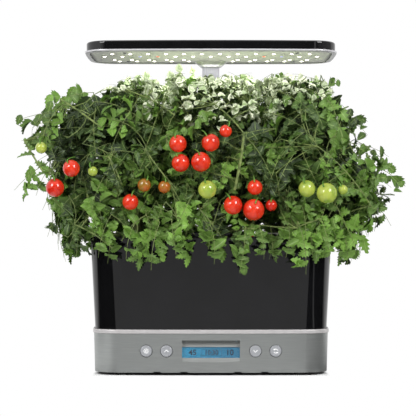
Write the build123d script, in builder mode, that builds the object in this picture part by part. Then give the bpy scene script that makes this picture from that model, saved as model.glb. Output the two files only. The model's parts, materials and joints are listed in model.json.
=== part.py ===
from build123d import *
import math
import os

os.makedirs("parts", exist_ok=True)

# Countertop hydroponic garden. Millimetres, +Z up, the front faces -Y, +X is to
# the right, and the origin is on the worktop under the middle of the base.

# ------------------------------------------------------------------ base sizes
base_width = 267.0  # at the top edge of the housing
base_depth = 156.0
base_taper = 1.2  # how much each side draws in towards the worktop
corner_radius = 28.0
side_bow = 5.0  # swell of the long sides between their corners
housing_height = 43.4
housing_wall = 2.6
foot_height = 3.2
foot_radius = 7.0
foot_inset_x = 33.5
foot_inset_y = 16.0
foot_plug_radius = 2.5
foot_chamfer = 0.6
cover_thickness = 2.5
cover_clearance = 0.25
ledge_width = 3.5
ledge_height = 2.5
seat_thickness = 3.0
notch_count = 2  # finger notches each side of the middle, in the lower edge
notch_pitch = 30.0
notch_width_low = 8.0
notch_height = 1.1
ring_height = 4.6
ring_overhang = 1.0
ring_clearance = 0.8  # between the ring and the bowl standing in it
ring_edge_radius = 1.2
lap = 2.0  # how far a cut or a joined wall runs past the face that it starts from

# ------------------------------------------------------------ screws of the base
screw_inset = 17.0
screw_radius = 1.25
screw_head_radius = 2.9
screw_head_height = 1.6
screw_length = 14.0
pilot_clearance = 0.05
boss_radius = 4.2

# ------------------------------------------------------- buttons, display, board
button_radius = 6.6
button_gap = 0.5
button_z = 27.3
inner_button_x = 49.5
outer_button_x = 72.1
button_proud = 0.7
button_edge = 0.8
button_travel = 0.8
button_rest_gap = 0.05  # a pressed stem stops this far into its switch's free play
button_guide_length = 8.6
button_guide_wall = 2.0
button_flange_width = 1.4
button_flange_thickness = 1.5
button_stem_radius = 2.4
switch_size = 6.0
switch_height = 3.5
plunger_radius = 1.7
plunger_height = 1.0
recess_width = 64.5
recess_bottom = 15.0
recess_top = 37.4
recess_depth = 6.0
window_bottom = 19.4
window_height = 12.4
window_thickness = 1.5
window_clearance = 0.1
display_wall = 2.5
lcd_margin = 3.0
lcd_thickness = 3.0
shroud_margin = 4.0
shroud_depth = 14.0
board_setback = 18.5  # front face of the board behind the middle of the front
board_drop = 2.0  # middle of the board below the middle of the buttons
board_width = 200.0
board_height = 28.0
board_thickness = 1.6
board_notch_inset = 12.0
board_notch_width = 10.0
board_notch_height = 8.0
board_post_inset = 8.0
board_post_radius = 3.5
jack_x = 62.0
jack_z = 24.0
jack_nose_radius = 4.3
jack_clearance = 0.1
jack_bore_radius = 3.1
jack_bore_depth = 9.5
jack_pin_radius = 1.05
jack_body = 11.0
jack_length = 14.0

# ------------------------------------------------------------------ bowl and deck
bowl_inset = 1.5  # the bowl's foot inside the edge of the base
bowl_flare = 5.2  # how much each side leans out up to the rim
bowl_height = 105.4
bowl_wall = 2.8
bowl_floor = 3.0
bowl_base_chamfer = 1.5
deck_thickness = 2.5
deck_overhang = 0.8
deck_edge_radius = 1.2
skirt_height = 6.0
skirt_thickness = 2.0
skirt_clearance = 0.4
pod_side_margin = 25.2  # between a collar and the wall of the bowl at its floor
pod_front_margin = 19.7
pod_rear_margin = 23.7
pod_spacing = 1.5
collar_radius = 20.0
collar_height = 3.0
pod_hole_radius = 16.6
basket_clearance = 0.3
basket_wall = 1.2
basket_flange = 19.2
basket_depth = 52.0
basket_foot_radius = 12.0
basket_slot_width = 7.0
basket_slot_height = 20.0
basket_slot_margin = 3.0
sponge_height = 30.0
sponge_clearance = 0.3
stem_radius = 4.0
stem_clearance = 0.3
stem_depth = 18.0
stem_embed = 30.0
port_width = 44.0
port_depth = 14.0
port_corner = 4.0
port_rim = 1.8
port_rim_height = 2.5
lid_thickness = 1.8
lid_overlap = 1.6
lid_hinge_gap = 0.3
lid_lip_depth = 5.0
lid_lip_corner = 1.5
hinge_radius = 1.0
hinge_knuckle_radius = 2.1
hinge_clearance = 0.05
hinge_ear_width = 4.0
hinge_ear_x = 18.0
lid_barrel = 30.0
float_x = 43.0
float_inset = 23.7  # behind the front edge of the bowl
float_stem_radius = 3.6
float_hole_clearance = 0.4
float_head_radius = 5.6
float_head_height = 3.0
float_head_edge = 1.2
float_body_radius = 11.0
float_body_height = 14.0
float_travel = 20.0
float_stop_gap = 0.2
float_guide_length = 10.0
float_guide_wall = 1.5

# ------------------------------------------------------------------------- pump
pump_x = -42.0
pump_y = -4.0
pump_radius = 18.0
pump_wall = 1.6
pump_height = 30.0
pump_edge = 2.0
pump_roof = 1.0  # roof of the chamber over the end of the shaft
pump_window_count = 6
pump_window_width = 5.0
pump_window_height = 12.0
filter_thickness = 4.5
filter_height = 18.0
filter_clearance = 0.2
shaft_radius = 1.0
shaft_clearance = 0.05
impeller_radius = 13.0
impeller_magnet_radius = 9.0
impeller_magnet_height = 13.0
impeller_disc = 1.5
impeller_vane_height = 5.0
impeller_vane_count = 6
impeller_vane_thickness = 1.2
impeller_hub_radius = 3.0
impeller_tip_gap = 1.0  # vanes end this far inside the edge of their disc
impeller_end_gap = 0.4
riser_radius = 4.5
riser_bore = 3.0
motor_radius = 17.0
motor_height = 24.0
motor_edge = 1.5

# ------------------------------------------------------------------- mast, lamp
post_setback = 32.0  # middle of the mast in front of the back of the base
post_width = 20.4
post_depth = 16.0
post_corner = 6.0
post_wall = 1.6
post_clearance = 0.1
post_overlap = 46.0  # what stays in the sleeve with the lamp at its highest
bush_wall = 1.3
bush_length = 26.0
bush_collar = 3.0
bush_edge = 1.0
glide_height = 12.0
fit_clearance = 0.05
sleeve_wall = 1.6
sleeve_rise = 33.5  # above the deck
sleeve_foot_margin = 7.0
sleeve_foot_height = 4.0
sleeve_socket_wall = 2.0
notch_clearance = 2.0  # between the mast and the bowl's channel
notch_corner = 9.0
mast_travel = 70.0
lamp_width = 284.0
lamp_depth_margin = 18.0  # lamp less deep than the base
lamp_front_inset = 2.0  # front of the lamp behind the front of the base
lamp_corner = 27.0
lamp_rise = 209.7  # lower edge of the hood above the deck, in the lowest useful setting
hood_height = 10.2
hood_wall = 2.0
hood_edge_radius = 2.4
rim_drop = 2.4
rim_overhang = 1.8
rim_width = 5.5
rim_edge_radius = 1.5
rim_spigot_height = 4.0
led_board_thickness = 1.6
led_board_clearance = 0.2
led_size = 4.6
led_height = 1.2
led_pitch = 20.4
# Rows from the front: inset from the front of the lamp, first place beside the middle,
# and the colours outwards from there, the same each side.
led_rows = [
    (32.0, 10.2, "wwwwww"),
    (57.0, 0.0, "wwwrbww"),
    (91.0, 31.5, "wwwww"),
    (106.0, 26.0, "wwwww"),
]
lamp_screw_x = 97.5
lamp_screw_insets = (26.0, 27.4)  # from the front and from the back of the lamp
lamp_screw_radius = 1.25
lamp_screw_bite = 5.0
lamp_boss_radius = 3.4
lamp_screw_head = 2.6
lamp_screw_head_height = 1.0
socket_top_width = 39.0
socket_top_depth = 21.0
socket_foot_width = 24.5
socket_foot_depth = 20.0
socket_drop = 6.4
socket_corner = 8.0
socket_neck_wall = 3.0

# ----------------------------------------------------------------------- plants
crown_gap = 0.4  # between one plant's leaves and the next one's
column_split = 58.0
row_split = -12.0
crown_bowl_clearance = 4.0
crown_deck_clearance = 32.0
crown_post_clearance = 2.5
crown_seam = 1.0  # how far a plant's mound runs over its border before it is cut to its share
crown_set_back = 10.0  # the leaves lean away from the fruit that hangs in front of them
plant_swell = 6.0  # bulge of each plant's outer sides
corner_share = 0.56  # radii as shares of the depth of a plant at the front
fold_share = 0.2
crown_lamp_gap = 16.8  # under the rim of the lamp at its lowest
# Level as a share of the way from the deck up to the top of the leaves, how far they hang
# out over the rim of the bowl at that level, to the sides and to the front and back, and how
# far each plant draws back from the next.
crown_outline = [
    (-0.14, 28.8, 22.3, 9.0),
    (0.055, 60.8, 30.3, 0.0),
    (0.32, 75.8, 34.3, 0.0),
    (0.58, 69.8, 34.3, 0.0),
    (0.79, 46.8, 22.3, 0.0),
    (0.93, 12.8, 6.3, 2.0),
    (1.0, -19.2, -11.7, 14.0),
]
fruit_clearance = 0.3
# Fruit on the front of the plants, by ripeness: x, z and diameter.
fruits = {
    "tomatoes_red": [
        (-152, 229, 19),
        (-170, 208, 20.5),
        (-88, 192.5, 18),
        (-36, 256, 19.5),
        (-33, 235, 20),
        (-11, 236, 22),
        (-0.5, 257, 20),
        (16, 270, 14),
        (24, 189, 21),
        (46.5, 184, 24),
        (66, 189, 13),
        (48, 208.5, 17),
    ],
    "tomatoes_orange": [(-73, 211, 15), (-51, 209, 14)],
    "tomatoes_green": [
        (-4, 206, 20.5),
        (104.5, 207, 19),
        (126, 202, 23),
        (144, 206, 11),
        (-129, 226, 11),
        (-186, 252, 13),
    ],
}

# ------------------------------------------------------------------------ levels
floor_z = foot_height
cover_top = floor_z + cover_thickness
housing_top = floor_z + housing_height
seat_underside = housing_top - seat_thickness
ring_top = housing_top + ring_height
bowl_rim = housing_top + bowl_height
deck_top = bowl_rim + deck_thickness
collar_top = deck_top + collar_height
rim_top = deck_top + port_rim_height
sleeve_top = deck_top + sleeve_rise
post_foot_z = sleeve_top - mast_travel - post_overlap
lamp_edge_z = deck_top + lamp_rise
led_plane_z = lamp_edge_z - led_board_thickness
lamp_top = lamp_edge_z + hood_height
hood_inside = lamp_top - hood_wall

# -------------------------------------------------------------- derived outlines
bowl_bottom_width = base_width - 2 * bowl_inset
bowl_bottom_depth = base_depth - 2 * bowl_inset
bowl_top_width = bowl_bottom_width + 2 * bowl_flare
bowl_top_depth = bowl_bottom_depth + 2 * bowl_flare
housing_inner_width = base_width - 2 * base_taper - 2 * housing_wall
housing_inner_depth = base_depth - 2 * base_taper - 2 * housing_wall
inner_corner = corner_radius - housing_wall
bowl_corner = corner_radius - bowl_inset
post_y = base_depth / 2 - post_setback
lamp_depth = base_depth - lamp_depth_margin
lamp_front = -base_depth / 2 + lamp_front_inset
lamp_y = lamp_front + lamp_depth / 2
bush_width = post_width + 2 * (post_clearance + bush_wall)
bush_depth = post_depth + 2 * (post_clearance + bush_wall)
sleeve_bore_width = bush_width + 2 * fit_clearance
sleeve_bore_depth = bush_depth + 2 * fit_clearance
sleeve_width = sleeve_bore_width + 2 * sleeve_wall
sleeve_depth = sleeve_bore_depth + 2 * sleeve_wall
bore_corner = post_corner + post_clearance + bush_wall + fit_clearance
sleeve_corner = bore_corner + sleeve_wall
notch_front = post_y - sleeve_depth / 2 - notch_clearance
notch_width = sleeve_width + 2 * notch_clearance
notch_length = base_depth
notch_middle = notch_front + notch_length / 2
pod_column_x = bowl_bottom_width / 2 - bowl_wall - pod_side_margin - collar_radius
pod_front_y = -(bowl_bottom_depth / 2 - bowl_wall - pod_front_margin - collar_radius)
pod_rear_y = bowl_bottom_depth / 2 - bowl_wall - pod_rear_margin - collar_radius
centre_rear_y = notch_front - bowl_wall - collar_radius - pod_spacing / 2
centre_front_y = centre_rear_y - 2 * collar_radius - pod_spacing
port_y = -bowl_top_depth / 2 + bowl_wall + skirt_clearance + skirt_thickness + port_rim + port_depth / 2
hinge_y = port_y + port_depth / 2 + port_rim + hinge_knuckle_radius
hinge_z = rim_top + lid_thickness / 2
lid_width = port_width + 2 * lid_overlap
float_y = -bowl_top_depth / 2 + float_inset
basket_radius = pod_hole_radius - basket_clearance

pods = {
    1: (-pod_column_x, pod_front_y),
    2: (0, centre_front_y),
    3: (pod_column_x, pod_front_y),
    4: (-pod_column_x, pod_rear_y),
    5: (0, centre_rear_y),
    6: (pod_column_x, pod_rear_y),
}
screw_points = [
    (sx * (base_width / 2 - screw_inset), sy * (base_depth / 2 - screw_inset))
    for sx in (-1, 1)
    for sy in (-1, 1)
]
foot_points = [
    (sx * (base_width / 2 - foot_inset_x), sy * (base_depth / 2 - foot_inset_y))
    for sx in (-1, 1)
    for sy in (-1, 1)
]


class BowedRectangle(BaseSketchObject):
    """A rectangle with round corners, whose sides swell outwards between them."""

    def __init__(self, width, depth, corner, bow, mode=Mode.ADD):
        half_w = width / 2
        half_d = depth / 2
        corner_x = half_w - bow * depth / width
        corner_y = half_d - bow
        front = Edge.make_three_point_arc((-corner_x, -corner_y), (0, -half_d), (corner_x, -corner_y))
        right = Edge.make_three_point_arc((corner_x, -corner_y), (half_w, 0), (corner_x, corner_y))
        rear = Edge.make_three_point_arc((corner_x, corner_y), (0, half_d), (-corner_x, corner_y))
        left = Edge.make_three_point_arc((-corner_x, corner_y), (-half_w, 0), (-corner_x, -corner_y))
        face = Face(Wire([front, right, rear, left]))
        rounded = face.fillet_2d(corner, face.vertices())
        super().__init__(rounded, 0, None, mode)


def bowed_edge(width, depth, bow, x):
    """Distance from the middle of a BowedRectangle to its long side at x."""
    half_chord = width / 2 - bow * depth / width
    radius = (half_chord**2 + bow**2) / (2 * bow)
    return depth / 2 - radius + math.sqrt(radius**2 - x**2)


def front_face(x, z):
    """The y of the bowed and tapered front of the base housing at x and z."""
    draw_in = base_taper * (housing_top - z) / housing_height
    return -bowed_edge(base_width - 2 * draw_in, base_depth - 2 * draw_in, side_bow, x)


def save(piece, name):
    """Name a finished piece and write it to its own file."""
    piece.part.label = name
    export_step(piece.part, f"parts/{name}.step")


# ------------------------------------------------------------------ base housing
slope = math.atan2(recess_depth, recess_top - recess_bottom)
slope_length = (recess_top - recess_bottom) / math.cos(slope)
recess_plane = Plane(
    origin=(0, front_face(0, recess_bottom), recess_bottom),
    x_dir=(1, 0, 0),
    z_dir=(0, -math.cos(slope), math.sin(slope)),
)
window_middle = (window_bottom - recess_bottom + window_height / 2) / math.cos(slope)
lcd_width = recess_width + lcd_margin
lcd_height = window_height + 2 * lcd_margin
board_y = front_face(0, button_z) + board_setback
button_columns = {
    "button_light": -outer_button_x,
    "button_up": -inner_button_x,
    "button_down": inner_button_x,
    "button_select": outer_button_x,
}
button_hole_radius = button_radius + button_gap
board_post_x = board_width / 2 - board_post_inset
board_z = button_z - board_drop

with BuildPart() as base_housing:
    with BuildSketch(Plane.XY.offset(floor_z)):
        BowedRectangle(base_width - 2 * base_taper, base_depth - 2 * base_taper, corner_radius, side_bow)
    with BuildSketch(Plane.XY.offset(housing_top)):
        BowedRectangle(base_width, base_depth, corner_radius, side_bow)
    loft()
    with BuildSketch(Plane.XY.offset(floor_z)):
        BowedRectangle(housing_inner_width, housing_inner_depth, inner_corner, side_bow)
    extrude(amount=housing_height, mode=Mode.SUBTRACT)
    # Ledge that carries the plate under the bowl.
    with BuildSketch(Plane.XY.offset(seat_underside - ledge_height)):
        BowedRectangle(housing_inner_width, housing_inner_depth, inner_corner, side_bow)
        BowedRectangle(
            housing_inner_width - 2 * ledge_width,
            housing_inner_depth - 2 * ledge_width,
            inner_corner - ledge_width,
            side_bow,
            mode=Mode.SUBTRACT,
        )
    extrude(amount=ledge_height)
    # Bosses for the screws that hold the bottom cover.
    with BuildSketch(Plane.XY.offset(cover_top)):
        with Locations(*screw_points):
            Circle(boss_radius)
    extrude(amount=seat_underside - cover_top)
    with BuildSketch(Plane.XY.offset(cover_top)):
        with Locations(*screw_points):
            Circle(screw_radius + pilot_clearance)
    extrude(amount=screw_length, mode=Mode.SUBTRACT)
    # Shroud behind the sloping display recess.
    with BuildSketch(Plane.XZ.offset(-(front_face(0, button_z) + shroud_depth))):
        with Locations((0, (recess_bottom + recess_top) / 2)):
            Rectangle(recess_width + 2 * shroud_margin, recess_top - recess_bottom + 2 * shroud_margin)
    extrude(amount=shroud_depth - housing_wall / 2)
    with BuildSketch(recess_plane):
        with Locations((0, slope_length / 2)):
            Rectangle(recess_width, slope_length)
    extrude(amount=recess_depth + lap, mode=Mode.SUBTRACT)
    with BuildSketch(recess_plane):
        with Locations((0, window_middle)):
            Rectangle(recess_width, window_height)
    extrude(amount=-display_wall, mode=Mode.SUBTRACT)
    with BuildSketch(recess_plane.offset(-display_wall)):
        with Locations((0, window_middle)):
            Rectangle(lcd_width + 2 * window_clearance, lcd_height + 2 * window_clearance)
    extrude(amount=-shroud_depth, mode=Mode.SUBTRACT)
    # Round guides for the four buttons and posts for the board.
    for column in button_columns.values():
        guide_back = Plane.XZ.offset(-(front_face(column, button_z) + button_guide_length))
        with BuildSketch(guide_back):
            with Locations((column, button_z)):
                Circle(button_hole_radius + button_guide_wall)
        extrude(amount=button_guide_length - housing_wall / 2)
        with BuildSketch(guide_back):
            with Locations((column, button_z)):
                Circle(button_hole_radius)
        extrude(amount=2 * button_guide_length, mode=Mode.SUBTRACT)
    for side in (-1, 1):
        post_length = board_y - front_face(board_post_x, button_z)
        with BuildSketch(Plane.XZ.offset(-board_y)):
            with Locations((side * board_post_x, button_z)):
                Circle(board_post_radius)
        extrude(amount=post_length - housing_wall / 2)
    # Hole for the power inlet in the rear wall.
    with BuildSketch(Plane.XZ.offset(-base_depth / 2 - lap)):
        with Locations((jack_x, jack_z)):
            Circle(jack_nose_radius + jack_clearance)
    extrude(amount=2 * housing_wall + side_bow + lap, mode=Mode.SUBTRACT)
    # Finger notches in the lower edge of the front.
    with BuildSketch(Plane.XZ.offset(base_depth / 2 - 2 * housing_wall - side_bow)):
        for side in (-1, 1):
            for count in range(notch_count):
                with Locations((side * notch_pitch * (count + 1), floor_z)):
                    Rectangle(notch_width_low, 2 * notch_height)
    extrude(amount=base_depth, mode=Mode.SUBTRACT)
save(base_housing, "base_housing")

# ------------------------------------------------------------------ bottom cover
with BuildPart() as bottom_cover:
    with BuildSketch(Plane.XY.offset(floor_z)):
        BowedRectangle(
            housing_inner_width - 2 * cover_clearance,
            housing_inner_depth - 2 * cover_clearance,
            inner_corner - cover_clearance,
            side_bow,
        )
    extrude(amount=cover_thickness)
    with BuildSketch(Plane.XY.offset(floor_z)):
        with Locations(*screw_points):
            Circle(screw_head_radius + pilot_clearance)
    extrude(amount=screw_head_height, mode=Mode.SUBTRACT)
    with BuildSketch(Plane.XY.offset(floor_z)):
        with Locations(*screw_points):
            Circle(screw_radius + 2 * pilot_clearance)
        with Locations(*foot_points):
            Circle(foot_plug_radius + fit_clearance)
    extrude(amount=cover_thickness, mode=Mode.SUBTRACT)
    # Low wall that locates the foot of the mast.
    foot_width = sleeve_width + 2 * sleeve_foot_margin
    foot_depth = sleeve_depth + 2 * sleeve_foot_margin
    with BuildSketch(Plane.XY.offset(cover_top)):
        with Locations((0, post_y)):
            RectangleRounded(
                foot_width + 2 * sleeve_socket_wall,
                foot_depth + 2 * sleeve_socket_wall,
                sleeve_corner + sleeve_socket_wall,
            )
            RectangleRounded(
                foot_width + 2 * fit_clearance, foot_depth + 2 * fit_clearance, sleeve_corner, mode=Mode.SUBTRACT
            )
    extrude(amount=sleeve_foot_height)
save(bottom_cover, "bottom_cover")

with BuildPart() as rubber_feet:
    with BuildSketch(Plane.XY):
        with Locations(*foot_points):
            Circle(foot_radius)
    extrude(amount=foot_height)
    chamfer(rubber_feet.edges().group_by(Axis.Z)[0], foot_chamfer)
    with BuildSketch(Plane.XY.offset(foot_height)):
        with Locations(*foot_points):
            Circle(foot_plug_radius)
    extrude(amount=cover_thickness)
save(rubber_feet, "rubber_feet")

with BuildPart() as base_screws:
    with BuildSketch(Plane.XY.offset(floor_z)):
        with Locations(*screw_points):
            Circle(screw_head_radius)
    extrude(amount=screw_head_height)
    with BuildSketch(Plane.XY.offset(floor_z + screw_head_height)):
        with Locations(*screw_points):
            Circle(screw_radius)
    extrude(amount=screw_length - screw_head_height)
save(base_screws, "base_screws")

# --------------------------------------------------- plate and ring for the bowl
with BuildPart() as bowl_seat:
    with BuildSketch(Plane.XY.offset(seat_underside)):
        BowedRectangle(
            housing_inner_width - 2 * cover_clearance,
            housing_inner_depth - 2 * cover_clearance,
            inner_corner - cover_clearance,
            side_bow,
        )
        with Locations((0, post_y)):
            RectangleRounded(
                sleeve_width + 2 * fit_clearance, sleeve_depth + 2 * fit_clearance, sleeve_corner, mode=Mode.SUBTRACT
            )
    extrude(amount=seat_thickness)
save(bowl_seat, "bowl_seat")

ring_share = ring_height / bowl_height
ring_bore_width = bowl_bottom_width + 2 * bowl_flare * ring_share + 2 * ring_clearance
ring_bore_depth = bowl_bottom_depth + 2 * bowl_flare * ring_share + 2 * ring_clearance
with BuildPart() as trim_ring:
    with BuildSketch(Plane.XY.offset(housing_top)):
        BowedRectangle(
            base_width + 2 * ring_overhang, base_depth + 2 * ring_overhang, corner_radius + ring_overhang, side_bow
        )
    extrude(amount=ring_height)
    fillet(trim_ring.edges().group_by(Axis.Z)[-1], ring_edge_radius)
    fillet(trim_ring.edges().group_by(Axis.Z)[0], ring_edge_radius / 2)
    with BuildSketch(Plane.XY.offset(housing_top)):
        BowedRectangle(ring_bore_width, ring_bore_depth, bowl_corner + ring_clearance, side_bow)
    extrude(amount=ring_height, mode=Mode.SUBTRACT)
save(trim_ring, "trim_ring")

# ------------------------------------------------------------ display and buttons
with BuildPart() as lcd_window:
    with BuildSketch(recess_plane):
        with Locations((0, window_middle)):
            Rectangle(recess_width - 2 * window_clearance, window_height - 2 * window_clearance)
    extrude(amount=-window_thickness)
save(lcd_window, "lcd_window")

with BuildPart() as lcd_panel:
    with BuildSketch(recess_plane.offset(-display_wall)):
        with Locations((0, window_middle)):
            Rectangle(lcd_width, lcd_height)
    extrude(amount=-lcd_thickness)
save(lcd_panel, "lcd_panel")

with BuildPart() as control_board:
    with BuildSketch(Plane.XZ.offset(-board_y)):
        with Locations((0, board_z)):
            Rectangle(board_width, board_height)
        with Locations((board_width / 2 - board_notch_inset, board_z)):
            Rectangle(board_notch_width, board_notch_height, mode=Mode.SUBTRACT)
    extrude(amount=-board_thickness)
save(control_board, "control_board")

with BuildPart() as button_switches:
    with BuildSketch(Plane.XZ.offset(-board_y)):
        for column in button_columns.values():
            with Locations((column, button_z)):
                Rectangle(switch_size, switch_size)
    extrude(amount=switch_height)
    with BuildSketch(Plane.XZ.offset(-board_y + switch_height)):
        for column in button_columns.values():
            with Locations((column, button_z)):
                Circle(plunger_radius)
    extrude(amount=plunger_height)
save(button_switches, "button_switches")


def make_button(column):
    """A round key: a cap in its guide, a flange that stops it falling out, and a stem to its switch."""
    wall_y = front_face(column, button_z)
    cap_front = wall_y - button_proud
    flange_front = wall_y + button_guide_length + fit_clearance
    stem_end = board_y - switch_height - plunger_height - button_travel - button_rest_gap
    with BuildPart() as button:
        with BuildSketch(Plane.XZ.offset(-flange_front)):
            with Locations((column, button_z)):
                Circle(button_radius)
        extrude(amount=flange_front - cap_front)
        chamfer(button.edges().group_by(Axis.Y)[0], button_edge)
        with BuildSketch(Plane.XZ.offset(-flange_front)):
            with Locations((column, button_z)):
                Circle(button_radius + button_flange_width)
        extrude(amount=-button_flange_thickness)
        with BuildSketch(Plane.XZ.offset(-flange_front)):
            with Locations((column, button_z)):
                Circle(button_stem_radius)
        extrude(amount=flange_front - stem_end)
    return button


for button_name, column in button_columns.items():
    save(make_button(column), button_name)

rear_y = -front_face(jack_x, jack_z)
jack_face_y = bowed_edge(housing_inner_width, housing_inner_depth, side_bow, jack_x + jack_body / 2)
with BuildPart() as power_jack:
    with BuildSketch(Plane.XZ.offset(-(jack_face_y - fit_clearance))):
        with Locations((jack_x, jack_z)):
            Rectangle(jack_body, jack_body)
    extrude(amount=jack_length)
    with BuildSketch(Plane.XZ.offset(-rear_y)):
        with Locations((jack_x, jack_z)):
            Circle(jack_nose_radius)
    extrude(amount=housing_wall + lap)
    with BuildSketch(Plane.XZ.offset(-rear_y)):
        with Locations((jack_x, jack_z)):
            Circle(jack_bore_radius)
            Circle(jack_pin_radius, mode=Mode.SUBTRACT)
    extrude(amount=jack_bore_depth, mode=Mode.SUBTRACT)
save(power_jack, "power_jack")

# -------------------------------------------------------------------------- mast
with BuildPart() as mast_sleeve:
    with BuildSketch(Plane.XY.offset(cover_top)):
        with Locations((0, post_y)):
            RectangleRounded(foot_width, foot_depth, sleeve_corner)
    extrude(amount=sleeve_foot_height)
    with BuildSketch(Plane.XY.offset(cover_top)):
        with Locations((0, post_y)):
            RectangleRounded(sleeve_width, sleeve_depth, sleeve_corner)
    extrude(amount=sleeve_top - cover_top)
    with BuildSketch(Plane.XY.offset(cover_top)):
        with Locations((0, post_y)):
            RectangleRounded(sleeve_bore_width, sleeve_bore_depth, bore_corner)
    extrude(amount=sleeve_top - cover_top, mode=Mode.SUBTRACT)
save(mast_sleeve, "mast_sleeve")

with BuildPart() as mast_bush:
    with BuildSketch(Plane.XY.offset(sleeve_top - bush_length)):
        with Locations((0, post_y)):
            RectangleRounded(bush_width, bush_depth, post_corner + bush_wall)
    extrude(amount=bush_length)
    with BuildSketch(Plane.XY.offset(sleeve_top)):
        with Locations((0, post_y)):
            RectangleRounded(sleeve_width, sleeve_depth, sleeve_corner)
    extrude(amount=bush_collar)
    fillet(mast_bush.edges().group_by(Axis.Z)[-1], bush_edge)
    with BuildSketch(Plane.XY.offset(sleeve_top - bush_length)):
        with Locations((0, post_y)):
            RectangleRounded(
                post_width + 2 * post_clearance, post_depth + 2 * post_clearance, post_corner + post_clearance
            )
    extrude(amount=bush_length + bush_collar, mode=Mode.SUBTRACT)
save(mast_bush, "mast_bush")

with BuildPart() as mast_post:
    with BuildSketch(Plane.XY.offset(post_foot_z)):
        with Locations((0, post_y)):
            RectangleRounded(post_width, post_depth, post_corner)
            RectangleRounded(
                post_width - 2 * post_wall, post_depth - 2 * post_wall, post_corner - post_wall, mode=Mode.SUBTRACT
            )
    extrude(amount=hood_inside - socket_neck_wall - post_foot_z)
save(mast_post, "mast_post")

with BuildPart() as mast_glide:
    with BuildSketch(Plane.XY.offset(post_foot_z - glide_height / 2)):
        with Locations((0, post_y)):
            RectangleRounded(
                sleeve_bore_width - 2 * post_clearance, sleeve_bore_depth - 2 * post_clearance, bore_corner
            )
    extrude(amount=glide_height / 2)
    with BuildSketch(Plane.XY.offset(post_foot_z)):
        with Locations((0, post_y)):
            RectangleRounded(
                post_width - 2 * post_wall - 2 * fit_clearance,
                post_depth - 2 * post_wall - 2 * fit_clearance,
                post_corner - post_wall,
            )
    extrude(amount=glide_height)
    with BuildSketch(Plane.XY.offset(post_foot_z - glide_height / 2)):
        with Locations((0, post_y)):
            Circle(post_depth / 4)
    extrude(amount=2 * glide_height, mode=Mode.SUBTRACT)
save(mast_glide, "mast_glide")

# -------------------------------------------------------------------------- lamp
rim_outer_width = lamp_width + 2 * rim_overhang
rim_outer_depth = lamp_depth + 2 * rim_overhang
led_plate_width = rim_outer_width - 2 * rim_width - 2 * led_board_clearance
led_plate_depth = rim_outer_depth - 2 * rim_width - 2 * led_board_clearance
lamp_screw_rows = (lamp_front + lamp_screw_insets[0], lamp_front + lamp_depth - lamp_screw_insets[1])
lamp_screw_points = [(side * lamp_screw_x, row) for side in (-1, 1) for row in lamp_screw_rows]


def lamp_level(z):
    """A level plane on the lamp's own centre line."""
    return Plane(origin=(0, lamp_y, z), x_dir=(1, 0, 0), z_dir=(0, 0, 1))


led_board_top = led_plane_z + led_board_thickness
with BuildPart() as lamp_hood:
    with BuildSketch(lamp_level(lamp_edge_z)):
        BowedRectangle(lamp_width, lamp_depth, lamp_corner, side_bow)
    extrude(amount=hood_height)
    fillet(lamp_hood.edges().group_by(Axis.Z)[-1], hood_edge_radius)
    with BuildSketch(lamp_level(lamp_edge_z)):
        BowedRectangle(lamp_width - 2 * hood_wall, lamp_depth - 2 * hood_wall, lamp_corner - hood_wall, side_bow)
    extrude(amount=hood_height - hood_wall, mode=Mode.SUBTRACT)
    with BuildSketch(Plane.XY.offset(led_board_top)):
        with Locations(*lamp_screw_points):
            Circle(lamp_boss_radius)
    extrude(amount=hood_inside - led_board_top)
    with BuildSketch(Plane.XY.offset(led_board_top)):
        with Locations(*lamp_screw_points):
            Circle(lamp_screw_radius + pilot_clearance)
    extrude(amount=hood_inside - led_board_top, mode=Mode.SUBTRACT)
save(lamp_hood, "lamp_hood")

with BuildPart() as lamp_rim:
    with BuildSketch(lamp_level(lamp_edge_z - rim_drop)):
        BowedRectangle(rim_outer_width, rim_outer_depth, lamp_corner + rim_overhang, side_bow)
    extrude(amount=rim_drop)
    fillet(lamp_rim.edges().group_by(Axis.Z)[0], rim_edge_radius)
    with BuildSketch(lamp_level(lamp_edge_z)):
        BowedRectangle(
            lamp_width - 2 * hood_wall - 2 * led_board_clearance,
            lamp_depth - 2 * hood_wall - 2 * led_board_clearance,
            lamp_corner - hood_wall - led_board_clearance,
            side_bow,
        )
    extrude(amount=rim_spigot_height)
    with BuildSketch(lamp_level(lamp_edge_z - rim_drop)):
        BowedRectangle(
            rim_outer_width - 2 * rim_width, rim_outer_depth - 2 * rim_width, lamp_corner - rim_width, side_bow
        )
    extrude(amount=rim_drop + rim_spigot_height, mode=Mode.SUBTRACT)
save(lamp_rim, "lamp_rim")

led_places = {"w": set(), "r": set(), "b": set()}
for inset, start, colours in led_rows:
    for place, colour in enumerate(colours):
        for side in (-1, 1):
            led_places[colour].add((side * (start + led_pitch * place), lamp_front + inset))

with BuildPart() as led_board:
    with BuildSketch(lamp_level(led_plane_z)):
        BowedRectangle(led_plate_width, led_plate_depth, lamp_corner - rim_width - led_board_clearance, side_bow)
    extrude(amount=led_board_thickness)
    with BuildSketch(Plane.XY.offset(led_plane_z)):
        with Locations((0, post_y)):
            RectangleRounded(
                socket_top_width + 2 * fit_clearance, socket_top_depth + 2 * fit_clearance, socket_corner
            )
        with Locations(*lamp_screw_points):
            Circle(lamp_screw_radius + 2 * pilot_clearance)
    extrude(amount=led_board_thickness, mode=Mode.SUBTRACT)
save(led_board, "led_board")

for colour in ("white", "red", "blue"):
    with BuildPart() as leds:
        with BuildSketch(Plane.XY.offset(led_plane_z)):
            with Locations(*sorted(led_places[colour[0]])):
                Rectangle(led_size, led_size)
        extrude(amount=-led_height)
    save(leds, f"leds_{colour}")

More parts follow.
